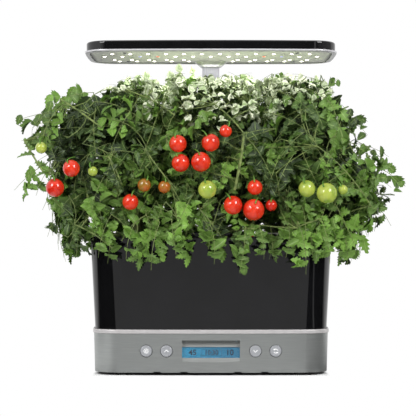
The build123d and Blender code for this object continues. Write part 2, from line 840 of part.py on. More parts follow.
with BuildPart() as lamp_screws:
    with BuildSketch(Plane.XY.offset(led_plane_z)):
        with Locations(*lamp_screw_points):
            Circle(lamp_screw_head)
    extrude(amount=-lamp_screw_head_height)
    with BuildSketch(Plane.XY.offset(led_plane_z)):
        with Locations(*lamp_screw_points):
            Circle(lamp_screw_radius)
    extrude(amount=led_board_thickness + lamp_screw_bite)
save(lamp_screws, "lamp_screws")

with BuildPart() as lamp_socket:
    # Flared neck under the hood, then a flange through the lamp board, then the clamp inside.
    with BuildSketch(Plane.XY.offset(led_plane_z - socket_drop)):
        with Locations((0, post_y)):
            RectangleRounded(socket_foot_width, socket_foot_depth, socket_corner)
    with BuildSketch(Plane.XY.offset(led_plane_z)):
        with Locations((0, post_y)):
            RectangleRounded(socket_top_width, socket_top_depth, socket_corner)
    loft()
    with BuildSketch(Plane.XY.offset(led_plane_z)):
        with Locations((0, post_y)):
            RectangleRounded(socket_top_width, socket_top_depth, socket_corner)
    extrude(amount=led_board_thickness)
    with BuildSketch(Plane.XY.offset(led_board_top)):
        with Locations((0, post_y)):
            RectangleRounded(socket_foot_width, socket_foot_depth, socket_corner)
    extrude(amount=hood_inside - led_board_top)
    with BuildSketch(Plane.XY.offset(led_plane_z - socket_drop)):
        with Locations((0, post_y)):
            RectangleRounded(post_width + 2 * fit_clearance, post_depth + 2 * fit_clearance, post_corner)
    extrude(amount=hood_inside - socket_neck_wall - led_plane_z + socket_drop, mode=Mode.SUBTRACT)
save(lamp_socket, "lamp_socket")

# -------------------------------------------------------------------------- bowl
# The water space inside the walls, kept apart so that the walls follow it.
with BuildPart() as water_space:
    floor_share = bowl_floor / bowl_height
    with BuildSketch(Plane.XY.offset(housing_top + bowl_floor)):
        BowedRectangle(
            bowl_bottom_width + 2 * bowl_flare * floor_share - 2 * bowl_wall,
            bowl_bottom_depth + 2 * bowl_flare * floor_share - 2 * bowl_wall,
            bowl_corner - bowl_wall,
            side_bow,
        )
    with BuildSketch(Plane.XY.offset(bowl_rim)):
        BowedRectangle(
            bowl_top_width - 2 * bowl_wall, bowl_top_depth - 2 * bowl_wall, bowl_corner - bowl_wall, side_bow
        )
    loft()
    with BuildSketch(Plane.XY.offset(housing_top)):
        with Locations((0, notch_middle)):
            RectangleRounded(notch_width + 2 * bowl_wall, notch_length + 2 * bowl_wall, notch_corner + bowl_wall)
    extrude(amount=bowl_height, mode=Mode.SUBTRACT)

with BuildPart() as grow_bowl:
    for level, draw_in in ((0, bowl_base_chamfer), (bowl_base_chamfer, 0), (bowl_height, -bowl_flare)):
        with BuildSketch(Plane.XY.offset(housing_top + level)):
            BowedRectangle(
                bowl_bottom_width - 2 * draw_in, bowl_bottom_depth - 2 * draw_in, bowl_corner, side_bow
            )
    loft(ruled=True)
    # Upright channel at the back that the mast stands in.
    with BuildSketch(Plane.XY.offset(housing_top)):
        with Locations((0, notch_middle)):
            RectangleRounded(notch_width, notch_length, notch_corner)
    extrude(amount=bowl_height, mode=Mode.SUBTRACT)
    add(water_space.part, mode=Mode.SUBTRACT)
save(grow_bowl, "grow_bowl")

# -------------------------------------------------------------------------- deck
skirt_gap = bowl_wall + skirt_clearance
with BuildPart() as grow_deck:
    with BuildSketch(Plane.XY.offset(bowl_rim)):
        BowedRectangle(
            bowl_top_width + 2 * deck_overhang,
            bowl_top_depth + 2 * deck_overhang,
            bowl_corner + deck_overhang,
            side_bow,
        )
    extrude(amount=deck_thickness)
    fillet(grow_deck.edges().group_by(Axis.Z)[-1], deck_edge_radius)
    # Skirt that locates the deck inside the rim of the bowl.
    skirt_flare = 2 * bowl_flare * skirt_height / bowl_height
    with BuildSketch(Plane.XY.offset(bowl_rim)):
        skirt_width = bowl_top_width - skirt_flare - 2 * skirt_gap
        skirt_depth = bowl_top_depth - skirt_flare - 2 * skirt_gap
        BowedRectangle(skirt_width, skirt_depth, bowl_corner - skirt_gap, side_bow)
        BowedRectangle(
            skirt_width - 2 * skirt_thickness,
            skirt_depth - 2 * skirt_thickness,
            bowl_corner - skirt_gap - skirt_thickness,
            side_bow,
            mode=Mode.SUBTRACT,
        )
    extrude(amount=-skirt_height)
    with BuildSketch(Plane.XY.offset(bowl_rim - skirt_height)):
        with Locations((0, notch_middle)):
            RectangleRounded(
                notch_width + 2 * skirt_gap, notch_length + 2 * skirt_gap, notch_corner + skirt_gap
            )
    extrude(amount=skirt_height, mode=Mode.SUBTRACT)
    with BuildSketch(Plane.XY.offset(bowl_rim)):
        with Locations((0, notch_middle)):
            RectangleRounded(notch_width, notch_length, notch_corner)
    extrude(amount=deck_thickness, mode=Mode.SUBTRACT)
    # Raised collars for the six pods, the rim of the filling port, and the float guide.
    with BuildSketch(Plane.XY.offset(bowl_rim)):
        with Locations(*pods.values()):
            Circle(collar_radius)
    extrude(amount=deck_thickness + collar_height)
    with BuildSketch(Plane.XY.offset(bowl_rim)):
        with Locations((0, port_y)):
            RectangleRounded(port_width + 2 * port_rim, port_depth + 2 * port_rim, port_corner + port_rim)
    extrude(amount=deck_thickness + port_rim_height)
    with BuildSketch(Plane.XY.offset(bowl_rim - float_guide_length)):
        with Locations((float_x, float_y)):
            Circle(float_stem_radius + float_hole_clearance + float_guide_wall)
    extrude(amount=float_guide_length)
    # Ears of the lid's hinge.
    with BuildSketch(Plane.YZ.offset(-hinge_ear_x - hinge_ear_width / 2)):
        with Locations((hinge_y, hinge_z)):
            Circle(hinge_knuckle_radius)
        with Locations((hinge_y, (hinge_z + bowl_rim) / 2)):
            Rectangle(2 * hinge_knuckle_radius, hinge_z - bowl_rim)
    extrude(amount=hinge_ear_width)
    mirror(about=Plane.YZ)
    with BuildSketch(Plane.YZ.offset(-lid_width)):
        with Locations((hinge_y, hinge_z)):
            Circle(hinge_radius + hinge_clearance)
    extrude(amount=2 * lid_width, mode=Mode.SUBTRACT)
    with BuildSketch(Plane.XY.offset(bowl_rim - float_guide_length)):
        with Locations((float_x, float_y)):
            Circle(float_stem_radius + float_hole_clearance)
        with Locations((0, port_y)):
            RectangleRounded(port_width, port_depth, port_corner)
        with Locations(*pods.values()):
            Circle(pod_hole_radius)
    extrude(amount=float_guide_length + deck_thickness + collar_height, mode=Mode.SUBTRACT)
save(grow_deck, "grow_deck")

with BuildPart() as hinge_pin:
    with BuildSketch(Plane.YZ.offset(-hinge_ear_x - hinge_ear_width / 2)):
        with Locations((hinge_y, hinge_z)):
            Circle(hinge_radius)
    extrude(amount=2 * hinge_ear_x + hinge_ear_width)
save(hinge_pin, "hinge_pin")

with BuildPart() as fill_lid:
    lid_front = port_y - port_depth / 2 - port_rim - lid_overlap
    lid_back = hinge_y - hinge_knuckle_radius - lid_hinge_gap
    with BuildSketch(Plane.XY.offset(rim_top)):
        with Locations((0, (lid_front + lid_back) / 2)):
            RectangleRounded(lid_width + 2 * port_rim, lid_back - lid_front, port_corner)
    extrude(amount=lid_thickness)
    # Finger lip at the front.
    with BuildSketch(Plane.XY.offset(rim_top)):
        with Locations((0, lid_front)):
            RectangleRounded(lid_width / 3, lid_lip_depth, lid_lip_corner)
    extrude(amount=lid_thickness)
    # Barrel between the ears, joined to the flap.
    with BuildSketch(Plane.YZ.offset(-lid_barrel / 2)):
        with Locations((hinge_y, hinge_z)):
            Circle(hinge_knuckle_radius)
        with Locations(((lid_back + hinge_y) / 2, hinge_z)):
            Rectangle(hinge_y - lid_back + 2 * lid_hinge_gap, lid_thickness)
    extrude(amount=lid_barrel)
    with BuildSketch(Plane.YZ.offset(-lid_barrel / 2)):
        with Locations((hinge_y, hinge_z)):
            Circle(hinge_radius + hinge_clearance)
    extrude(amount=lid_barrel, mode=Mode.SUBTRACT)
save(fill_lid, "fill_lid")

# ------------------------------------------------------------------- water float
float_top = deck_top + float_head_height
float_body_top = bowl_rim - float_guide_length - float_travel - float_stop_gap
with BuildPart() as water_float:
    with BuildSketch(Plane.XY.offset(deck_top)):
        with Locations((float_x, float_y)):
            Circle(float_head_radius)
    extrude(amount=float_head_height)
    fillet(water_float.edges().group_by(Axis.Z)[-1], float_head_edge)
    with BuildSketch(Plane.XY.offset(float_body_top)):
        with Locations((float_x, float_y)):
            Circle(float_stem_radius)
    extrude(amount=deck_top - float_body_top)
    with BuildSketch(Plane.XY.offset(float_body_top)):
        with Locations((float_x, float_y)):
            Circle(float_body_radius)
    extrude(amount=-float_body_height)
save(water_float, "water_float")

# -------------------------------------------------------------------------- pods
basket_top = collar_top + basket_wall
basket_lean = (basket_radius - basket_foot_radius) / (basket_depth - basket_wall)
sponge_foot_radius = basket_radius - basket_wall - basket_lean * sponge_height - sponge_clearance
for number, (pod_x, pod_y) in pods.items():
    with BuildPart() as pod_basket:
        with BuildSketch(Plane.XY.offset(basket_top)):
            with Locations((pod_x, pod_y)):
                Circle(basket_radius)
        with BuildSketch(Plane.XY.offset(basket_top - basket_depth)):
            with Locations((pod_x, pod_y)):
                Circle(basket_foot_radius)
        loft()
        with BuildSketch(Plane.XY.offset(collar_top)):
            with Locations((pod_x, pod_y)):
                Circle(basket_flange)
        extrude(amount=basket_wall)
        with BuildSketch(Plane.XY.offset(basket_top)):
            with Locations((pod_x, pod_y)):
                Circle(basket_radius - basket_wall)
        with BuildSketch(Plane.XY.offset(basket_top - basket_depth + basket_wall)):
            with Locations((pod_x, pod_y)):
                Circle(basket_foot_radius - basket_wall)
        loft(mode=Mode.SUBTRACT)
        # Tall windows low in the wall let the water and the roots through.
        window_z = basket_top - basket_depth + basket_wall + basket_slot_margin + basket_slot_height / 2
        with BuildSketch(Plane.XZ.offset(-pod_y - basket_radius)):
            with Locations((pod_x, window_z)):
                Rectangle(basket_slot_width, basket_slot_height)
        extrude(amount=2 * basket_radius, mode=Mode.SUBTRACT)
        with BuildSketch(Plane.YZ.offset(pod_x - basket_radius)):
            with Locations((pod_y, window_z)):
                Rectangle(basket_slot_width, basket_slot_height)
        extrude(amount=2 * basket_radius, mode=Mode.SUBTRACT)
    save(pod_basket, f"pod_basket_{number}")

    with BuildPart() as grow_sponge:
        with BuildSketch(Plane.XY.offset(basket_top)):
            with Locations((pod_x, pod_y)):
                Circle(basket_radius - basket_wall - sponge_clearance)
        with BuildSketch(Plane.XY.offset(basket_top - sponge_height)):
            with Locations((pod_x, pod_y)):
                Circle(sponge_foot_radius)
        loft()
        with BuildSketch(Plane.XY.offset(basket_top)):
            with Locations((pod_x, pod_y)):
                Circle(stem_radius + stem_clearance)
        extrude(amount=-stem_depth - stem_clearance, mode=Mode.SUBTRACT)
    save(grow_sponge, f"grow_sponge_{number}")

# -------------------------------------------------------------------------- pump
pump_floor = housing_top + bowl_floor
pump_top = pump_floor + pump_height
shaft_bottom = pump_floor + pump_wall
with BuildPart() as pump_housing:
    with BuildSketch(Plane.XY.offset(pump_floor)):
        with Locations((pump_x, pump_y)):
            Circle(pump_radius)
    extrude(amount=pump_height)
    chamfer(pump_housing.edges().group_by(Axis.Z)[-1], pump_edge)
    with BuildSketch(Plane.XY.offset(pump_floor + pump_wall)):
        with Locations((pump_x, pump_y)):
            Circle(pump_radius - pump_wall)
    extrude(amount=pump_height - 2 * pump_wall - pump_roof, mode=Mode.SUBTRACT)
    # Outlet pipe up to the deck.
    with BuildSketch(Plane.XY.offset(pump_top)):
        with Locations((pump_x, pump_y + pump_radius / 2)):
            Circle(riser_radius)
    extrude(amount=bowl_rim - pump_top)
    with BuildSketch(Plane.XY.offset(pump_top - 2 * pump_wall)):
        with Locations((pump_x, pump_y + pump_radius / 2)):
            Circle(riser_bore)
    extrude(amount=bowl_rim - pump_top, mode=Mode.SUBTRACT)
    # Inlet windows behind the filter.
    for turn in range(pump_window_count // 2):
        side_plane = Plane(
            origin=(pump_x, pump_y, pump_floor + 2 * pump_wall + pump_window_height / 2),
            x_dir=(-math.sin(turn * math.tau / pump_window_count), math.cos(turn * math.tau / pump_window_count), 0),
            z_dir=(math.cos(turn * math.tau / pump_window_count), math.sin(turn * math.tau / pump_window_count), 0),
        )
        with BuildSketch(side_plane.offset(-pump_radius)):
            Rectangle(pump_window_width, pump_window_height)
        extrude(amount=2 * pump_radius, mode=Mode.SUBTRACT)
    with BuildSketch(Plane.XY.offset(pump_floor)):
        with Locations((pump_x, pump_y)):
            Circle(shaft_radius + fit_clearance)
    extrude(amount=pump_height - pump_roof, mode=Mode.SUBTRACT)
save(pump_housing, "pump_housing")

with BuildPart() as pump_shaft:
    with BuildSketch(Plane.XY.offset(pump_floor)):
        with Locations((pump_x, pump_y)):
            Circle(shaft_radius)
    extrude(amount=pump_height - pump_roof)
save(pump_shaft, "pump_shaft")

with BuildPart() as pump_filter:
    with BuildSketch(Plane.XY.offset(pump_floor)):
        with Locations((pump_x, pump_y)):
            Circle(pump_radius + filter_clearance + filter_thickness)
            Circle(pump_radius + filter_clearance, mode=Mode.SUBTRACT)
    extrude(amount=filter_height)
save(pump_filter, "pump_filter")

with BuildPart() as impeller:
    impeller_foot = pump_floor + pump_wall + impeller_end_gap
    with BuildSketch(Plane.XY.offset(impeller_foot)):
        with Locations((pump_x, pump_y)):
            Circle(impeller_magnet_radius)
    extrude(amount=impeller_magnet_height)
    with BuildSketch(Plane.XY.offset(impeller_foot + impeller_magnet_height)):
        with Locations((pump_x, pump_y)):
            Circle(impeller_radius)
    extrude(amount=impeller_disc)
    with BuildSketch(Plane.XY.offset(impeller_foot + impeller_magnet_height + impeller_disc)):
        with Locations((pump_x, pump_y)):
            Circle(impeller_hub_radius)
            with PolarLocations((impeller_radius - impeller_tip_gap) / 2, impeller_vane_count):
                Rectangle(impeller_radius - impeller_tip_gap, impeller_vane_thickness)
    extrude(amount=impeller_vane_height)
    with BuildSketch(Plane.XY.offset(impeller_foot)):
        with Locations((pump_x, pump_y)):
            Circle(shaft_radius + shaft_clearance)
    extrude(amount=impeller_magnet_height + impeller_disc + impeller_vane_height, mode=Mode.SUBTRACT)
save(impeller, "impeller")

with BuildPart() as pump_motor:
    with BuildSketch(Plane.XY.offset(seat_underside)):
        with Locations((pump_x, pump_y)):
            Circle(motor_radius)
    extrude(amount=-motor_height)
    chamfer(pump_motor.edges().group_by(Axis.Z)[0], motor_edge)
save(pump_motor, "pump_motor")

# ------------------------------------------------------------------------ plants
# The leaves of each plant make a mound that swells outwards, with a fold where it meets the
# next one. The six of them hang over the bowl's edge all round, in scallops, and clear the
# bowl, the deck and the mast.
class PlantOutline(BaseSketchObject):
    """An outline through corners (x, y, radius), whose sides on the outside of the crown swell."""

    def __init__(self, corners, outer_sides, mode=Mode.ADD):
        edges = []
        for side, (x, y, _) in enumerate(corners):
            end_x, end_y, _ = corners[(side + 1) % len(corners)]
            if side not in outer_sides:
                edges.append(Edge.make_line((x, y), (end_x, end_y)))
                continue
            middle = ((x + end_x) / 2, (y + end_y) / 2)
            if x == end_x:
                bulge = (middle[0] + math.copysign(plant_swell, x), middle[1])
            else:
                bulge = (middle[0], middle[1] + math.copysign(plant_swell, y))
            edges.append(Edge.make_three_point_arc((x, y), bulge, (end_x, end_y)))
        face = Face(Wire(edges))
        for x, y, radius in corners:
            if radius > 0:
                face = face.fillet_2d(radius, [face.vertices().sort_by_distance((x, y, 0))[0]])
        super().__init__(face if face.normal_at().Z > 0 else -face, 0, None, mode)


crown_floor = deck_top + crown_deck_clearance
crown_height = lamp_rise - rim_drop - crown_lamp_gap
reach = 2 * base_width
half_gap = crown_gap / 2
mast_front = post_y - sleeve_depth / 2 - crown_post_clearance
mast_side = sleeve_width / 2 + crown_post_clearance


def plant_outline(number, half_width, half_depth, draw):
    """Corners and outer sides of a plant where the whole crown has that half width and depth."""
    column = (number - 1) % 3 - 1
    overlap = crown_seam - draw
    front_depth = half_depth - plant_swell - crown_set_back + row_split + overlap
    fold = fold_share * front_depth
    corner = corner_share * front_depth
    front = crown_set_back - half_depth + plant_swell
    rear = crown_set_back + half_depth - plant_swell
    middle_side = column_split + overlap
    inner = column * (column_split - overlap)
    outer = column * (half_width - plant_swell)
    if number == 2:
        row = row_split + overlap
        corners = [(-middle_side, row, 0), (middle_side, row, 0), (middle_side, front, fold), (-middle_side, front, fold)]
        return corners, [2]
    if number == 5:
        row = row_split - overlap
        back = mast_front + overlap
        return [(-middle_side, row, 0), (middle_side, row, 0), (middle_side, back, 0), (-middle_side, back, 0)], []
    if number < 4:
        row = row_split + overlap
        return [(inner, row, 0), (outer, row, fold), (outer, front, corner), (inner, front, fold)], [1, 2]
    row = row_split - overlap
    beside_mast = column * (mast_side - crown_seam)
    back = mast_front - overlap
    corners = [(inner, row, 0), (outer, row, fold), (outer, rear, corner)]
    return corners + [(beside_mast, rear, 0), (beside_mast, back, 0), (inner, back, 0)], [1, 2]


# Each plant's share of the crown, as x and y from and to. The two at the back reach behind the mast.
side_front = (column_split + half_gap, reach, -reach, row_split - half_gap)
side_rear = (column_split + half_gap, reach, row_split + half_gap, reach)
side_behind = (mast_side, column_split + lap, mast_front + half_gap, reach)
middle_front = (-column_split + half_gap, column_split - half_gap, -reach, row_split - half_gap)
middle_rear = (-column_split + half_gap, column_split - half_gap, row_split + half_gap, mast_front - half_gap)


def mirrored(cell):
    """The same share on the left of the middle."""
    x_low, x_high, y_low, y_high = cell
    return (-x_high, -x_low, y_low, y_high)


plant_cells = {
    1: [mirrored(side_front)],
    2: [middle_front],
    3: [side_front],
    4: [mirrored(side_rear), mirrored(side_behind)],
    5: [middle_rear],
    6: [side_rear, side_behind],
}

plants = {}
for number, cells in plant_cells.items():
    with BuildPart() as plant:
        for level, side_reach, end_reach, draw in crown_outline:
            with BuildSketch(Plane.XY.offset(deck_top + level * crown_height)):
                PlantOutline(*plant_outline(number, bowl_top_width / 2 + side_reach, bowl_top_depth / 2 + end_reach, draw))
        loft()
        with BuildSketch(Plane.XY):
            BowedRectangle(
                bowl_top_width + 2 * crown_bowl_clearance,
                bowl_top_depth + 2 * crown_bowl_clearance,
                bowl_corner + crown_bowl_clearance,
                side_bow,
            )
        extrude(amount=crown_floor, mode=Mode.SUBTRACT)
        with BuildSketch(Plane.XY):
            for x_low, x_high, y_low, y_high in cells:
                with Locations(((x_low + x_high) / 2, (y_low + y_high) / 2)):
                    Rectangle(x_high - x_low, y_high - y_low)
        extrude(amount=lamp_top, mode=Mode.INTERSECT)
        with BuildSketch(Plane.XY.offset(basket_top - stem_depth)):
            with Locations(pods[number]):
                Circle(stem_radius)
        extrude(amount=crown_floor + stem_embed - basket_top + stem_depth)
    save(plant, f"plant_{number}")
    plants[number] = plant.part

# The fruit comes up to the leaves from the front, and stops just short of them.
front_plants = (1, 2, 3)
fruit_steps = 40
fruit_nearness = 0.02


def fruit_centre(x, z, radius):
    """Where a fruit hangs against the front of the leaves, with its middle at x and z."""
    y = -base_depth
    for step in range(fruit_steps):
        gap = min(plants[number].distance_to(Vector(x, y, z)) for number in front_plants) - radius - fruit_clearance
        y += gap
        if gap < fruit_nearness:
            break
    return (x, y, z)


for name, places in fruits.items():
    with BuildPart() as fruit:
        for x, z, diameter in places:
            with Locations(fruit_centre(x, z, diameter / 2)):
                Sphere(diameter / 2)
    save(fruit, name)
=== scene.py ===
import json
import math
import random

import bmesh
import bpy
from mathutils import Matrix, Vector
from mathutils.bvhtree import BVHTree

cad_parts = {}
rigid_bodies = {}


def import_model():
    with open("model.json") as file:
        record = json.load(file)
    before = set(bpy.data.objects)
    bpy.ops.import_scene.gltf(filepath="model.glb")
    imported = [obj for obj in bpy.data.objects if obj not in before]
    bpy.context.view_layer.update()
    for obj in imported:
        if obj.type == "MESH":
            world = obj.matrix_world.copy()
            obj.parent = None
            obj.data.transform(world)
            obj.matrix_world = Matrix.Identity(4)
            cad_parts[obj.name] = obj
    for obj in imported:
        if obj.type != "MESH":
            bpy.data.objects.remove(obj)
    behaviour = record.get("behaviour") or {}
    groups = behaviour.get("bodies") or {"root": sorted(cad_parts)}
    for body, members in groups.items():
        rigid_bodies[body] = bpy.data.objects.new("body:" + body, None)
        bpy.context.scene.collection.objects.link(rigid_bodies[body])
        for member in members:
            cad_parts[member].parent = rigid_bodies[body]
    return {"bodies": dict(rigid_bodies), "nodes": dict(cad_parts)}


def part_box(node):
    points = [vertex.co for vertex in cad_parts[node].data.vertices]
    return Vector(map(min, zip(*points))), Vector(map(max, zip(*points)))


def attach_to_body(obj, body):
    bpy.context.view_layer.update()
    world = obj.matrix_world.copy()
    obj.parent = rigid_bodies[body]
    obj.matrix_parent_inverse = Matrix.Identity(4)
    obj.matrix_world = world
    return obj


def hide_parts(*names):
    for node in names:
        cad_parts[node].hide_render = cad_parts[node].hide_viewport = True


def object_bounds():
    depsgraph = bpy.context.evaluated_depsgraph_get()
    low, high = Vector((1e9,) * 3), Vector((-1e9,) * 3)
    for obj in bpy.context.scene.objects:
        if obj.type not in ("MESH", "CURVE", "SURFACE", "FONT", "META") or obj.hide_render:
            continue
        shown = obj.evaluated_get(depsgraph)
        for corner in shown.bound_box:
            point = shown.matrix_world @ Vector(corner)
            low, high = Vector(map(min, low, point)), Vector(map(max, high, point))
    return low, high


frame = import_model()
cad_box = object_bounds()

bl_info = {
    "name": "Countertop hydroponic garden",
    "version": (1, 0, 0),
    "blender": (4, 5, 0),
    "location": "View3D > Sidebar > Garden",
    "description": "Dresses the garden: materials, lamp diodes, display, plants and fruit, and its studio",
    "category": "Object",
}

MM = 0.001
PLANTS = range(1, 7)
UP = Vector((0, 0, 1))
TO_FRONT = Vector((0, -1, 0))


def colour(code):
    """Turns an sRGB hex code into the linear colour that a socket or property takes."""
    channels = [int(code[place:place + 2], 16) / 255 for place in (1, 3, 5)]
    linear = [c / 12.92 if c <= 0.04045 else ((c + 0.055) / 1.055) ** 2.4 for c in channels]
    return (*linear, 1.0)


# ------------------------------------------------------------------ properties
class GardenDisplay(bpy.types.PropertyGroup):
    """What the display shows and how brightly it is lit."""

    water_days: bpy.props.StringProperty(name="Left figure", description="Figure at the left", default="45")
    clock: bpy.props.StringProperty(name="Clock", description="Figures in the middle", default="10:30")
    food_days: bpy.props.StringProperty(name="Right figure", description="Figure at the right", default="10")
    figure_height: bpy.props.FloatProperty(
        name="Figure height", description="Height of the figures", default=6.2 * MM, unit="LENGTH"
    )
    backlight: bpy.props.FloatProperty(
        name="Backlight", description="Glow of the display", default=0.3, subtype="FACTOR"
    )


class GardenLamp(bpy.types.PropertyGroup):
    """The light of the lamp's diodes."""

    diode_glow: bpy.props.FloatProperty(name="Diode glow", description="Brightness of a diode", default=9.0)
    light_power: bpy.props.FloatProperty(
        name="Light on the plants", description="Light that falls on the leaves", default=0.48, unit="POWER"
    )


class GardenPlants(bpy.types.PropertyGroup):
    """How densely the plants are leafed, and their leaves' sizes and colours."""

    seed: bpy.props.IntProperty(name="Seed", description="Another number grows other plants", default=11)
    leaf_length: bpy.props.FloatProperty(
        name="Leaf length", description="Length of a full-grown leaf", default=92 * MM, unit="LENGTH"
    )
    young_length: bpy.props.FloatProperty(
        name="Young leaf length", description="Length of a leaf near the lamp", default=35 * MM, unit="LENGTH"
    )
    spacing: bpy.props.FloatProperty(
        name="Spacing", description="Least distance between leaf bases", default=24 * MM, unit="LENGTH"
    )
    openness: bpy.props.FloatProperty(
        name="Openness", description="Share of leaves missing at the far sides", default=0.35, subtype="FACTOR"
    )
    young_level: bpy.props.FloatProperty(
        name="Young level",
        description="Above this level leaves are young, many of them pale",
        default=284 * MM,
        unit="LENGTH",
    )
    # The dark colour is the darkest leaf tone, and it also paints the shade of the leaves deep in the crown.
    dark: bpy.props.FloatVectorProperty(
        name="Dark leaf", description="Colour of the oldest leaves", default=colour("#16290e"), size=4, subtype="COLOR"
    )
    light: bpy.props.FloatVectorProperty(
        name="Light leaf", description="Colour of fresh leaves", default=colour("#79a440"), size=4, subtype="COLOR"
    )
    # The pale colour is partly the young leaves' own and partly painted glare of the lamp.
    pale: bpy.props.FloatVectorProperty(
        name="Pale leaf", description="Leaves just under the lamp", default=colour("#f2f6dc"), size=4, subtype="COLOR"
    )


class GardenStudio(bpy.types.PropertyGroup):
    """Where the camera stands, and how strong the studio's light is."""

    camera_distance: bpy.props.FloatProperty(
        name="Camera distance", description="In front of the mast's middle", default=1778 * MM, unit="LENGTH"
    )
    camera_height: bpy.props.FloatProperty(
        name="Camera height", description="Above the worktop", default=162 * MM, unit="LENGTH"
    )
    camera_side: bpy.props.FloatProperty(
        name="Camera offset", description="To the right of the middle", default=-3.3 * MM, unit="LENGTH"
    )
    camera_tilt: bpy.props.FloatProperty(
        name="Camera tilt", description="Upwards", default=math.radians(0.825), subtype="ANGLE"
    )
    lens: bpy.props.FloatProperty(name="Lens", description="Focal length in millimetres", default=132.2)
    sky: bpy.props.FloatProperty(name="Sky light", description="Even light from all round", default=0.34)
    softbox: bpy.props.FloatProperty(
        name="Softboxes", description="Power of each of the two front softboxes", default=18.0, unit="POWER"
    )


class HydroponicGarden(bpy.types.PropertyGroup):
    """All the settings of the garden."""

    display: bpy.props.PointerProperty(type=GardenDisplay)
    lamp: bpy.props.PointerProperty(type=GardenLamp)
    plants: bpy.props.PointerProperty(type=GardenPlants)
    studio: bpy.props.PointerProperty(type=GardenStudio)


def settings():
    """The garden's settings, kept with the scene."""
    return bpy.context.scene.hydroponic_garden


# -------------------------------------------------------------- modelling aids
def select_only(*pieces):
    """Leaves just these pieces selected, the last one active."""
    if bpy.context.object and bpy.context.object.mode != "OBJECT":
        bpy.ops.object.mode_set(mode="OBJECT")
    bpy.ops.object.select_all(action="DESELECT")
    for piece in pieces:
        piece.select_set(True)
        bpy.context.view_layer.objects.active = piece


def added(operator, **values):
    """The piece that an operator adds, with nothing else selected."""
    bpy.ops.object.select_all(action="DESELECT")
    operator(**values)
    return bpy.context.object


def pick(test):
    """In edit mode, selects just the vertices whose place passes the test."""
    mesh = bmesh.from_edit_mesh(bpy.context.object.data)
    bpy.ops.mesh.select_all(action="DESELECT")
    for vertex in mesh.verts:
        vertex.select = test(vertex.co)
    mesh.select_flush_mode()
    bmesh.update_edit_mesh(bpy.context.object.data)


def join(pieces, name):
    """Joins pieces into one with that name."""
    select_only(*pieces)
    if len(pieces) > 1:
        bpy.ops.object.join()
    piece = bpy.context.object
    piece.name = name
    piece.data.name = name
    return piece


def copy_at(template, matrix):
    """A copy of a template with its own mesh, placed by a matrix."""
    copy = bpy.data.objects.new(template.name, template.data.copy())
    copy.data.transform(matrix)
    bpy.context.scene.collection.objects.link(copy)
    return copy


def apply_modifier(piece, kind, **values):
    """Adds a modifier with these settings and applies it."""
    select_only(piece)
    modifier = piece.modifiers.new(kind.title(), kind)
    for name, value in values.items():
        setattr(modifier, name, value)
    bpy.ops.object.modifier_apply(modifier=modifier.name)


def bend(piece, angle):
    """Bends an upright piece backwards by an angle in degrees."""
    apply_modifier(piece, "SIMPLE_DEFORM", deform_method="BEND", deform_axis="X", angle=math.radians(angle))


def tube(name, lines, material, sides=0):
    """Round stems or strokes along lines of (point, radius), as one mesh."""
    curve = bpy.data.curves.new(name, "CURVE")
    curve.dimensions = "3D"
    curve.bevel_depth = 1.0
    curve.bevel_resolution = sides
    curve.use_fill_caps = True
    for line in lines:
        spline = curve.splines.new("POLY")
        spline.points.add(len(line) - 1)
        for point, (place, radius) in zip(spline.points, line):
            point.co = (*place, 1.0)
            point.radius = radius
    piece = bpy.data.objects.new(name, curve)
    bpy.context.scene.collection.objects.link(piece)
    curve.materials.append(material)
    select_only(piece)
    bpy.ops.object.convert(target="MESH")
    piece = bpy.context.object
    bpy.ops.object.shade_smooth_by_angle(angle=math.radians(50))
    return piece


def settle(piece, body, slot, *replaced):
    """Puts a finished piece at the origin, on its body; the slot is not used."""
    select_only(piece)
    bpy.ops.object.transform_apply(location=True, rotation=True, scale=True)
    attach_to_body(piece, body)
    if replaced:
        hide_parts(*replaced)


def dress(material, *names):
    """Gives CAD nodes a material."""
    for name in names:
        node = frame["nodes"][name]
        if not node.data.materials:
            node.data.materials.append(material)
        for slot in node.material_slots:
            slot.material = material


# ------------------------------------------------------------------- materials
def add_node(tree, kind, inputs=None, **values):
    """Adds a node with its settings. An input takes a value, a socket, or a node's first output."""
    node = tree.nodes.new(kind)
    for name, value in values.items():
        setattr(node, name, value)
    for name, value in (inputs or {}).items():
        if isinstance(value, bpy.types.Node):
            value = value.outputs[0]
        if isinstance(value, bpy.types.NodeSocket):
            tree.links.new(value, node.inputs[name])
        else:
            node.inputs[name].default_value = value
    return node


def set_stops(ramp, *stops):
    """Sets the stops of a colour ramp, each a position and a colour."""
    elements = ramp.color_ramp.elements
    while len(elements) < len(stops):
        elements.new(0.5)
    for element, (position, tint) in zip(elements, stops):
        element.position = position
        element.color = tint


def start_material(name):
    """A new material: returns it, its tree and the socket of the place on the object."""
    material = bpy.data.materials.new(name)
    material.use_nodes = True
    tree = material.node_tree
    tree.nodes.clear()
    return material, tree, add_node(tree, "ShaderNodeTexCoord").outputs["Object"]


def add_shader(tree, **sockets):
    """Adds the shader, with what its sockets take, and the output."""
    inputs = {socket.replace("_", " ").title(): value for socket, value in sockets.items()}
    if "Ior" in inputs:
        inputs["IOR"] = inputs.pop("Ior")
    shader = add_node(tree, "ShaderNodeBsdfPrincipled", inputs)
    add_node(tree, "ShaderNodeOutputMaterial", {"Surface": shader})


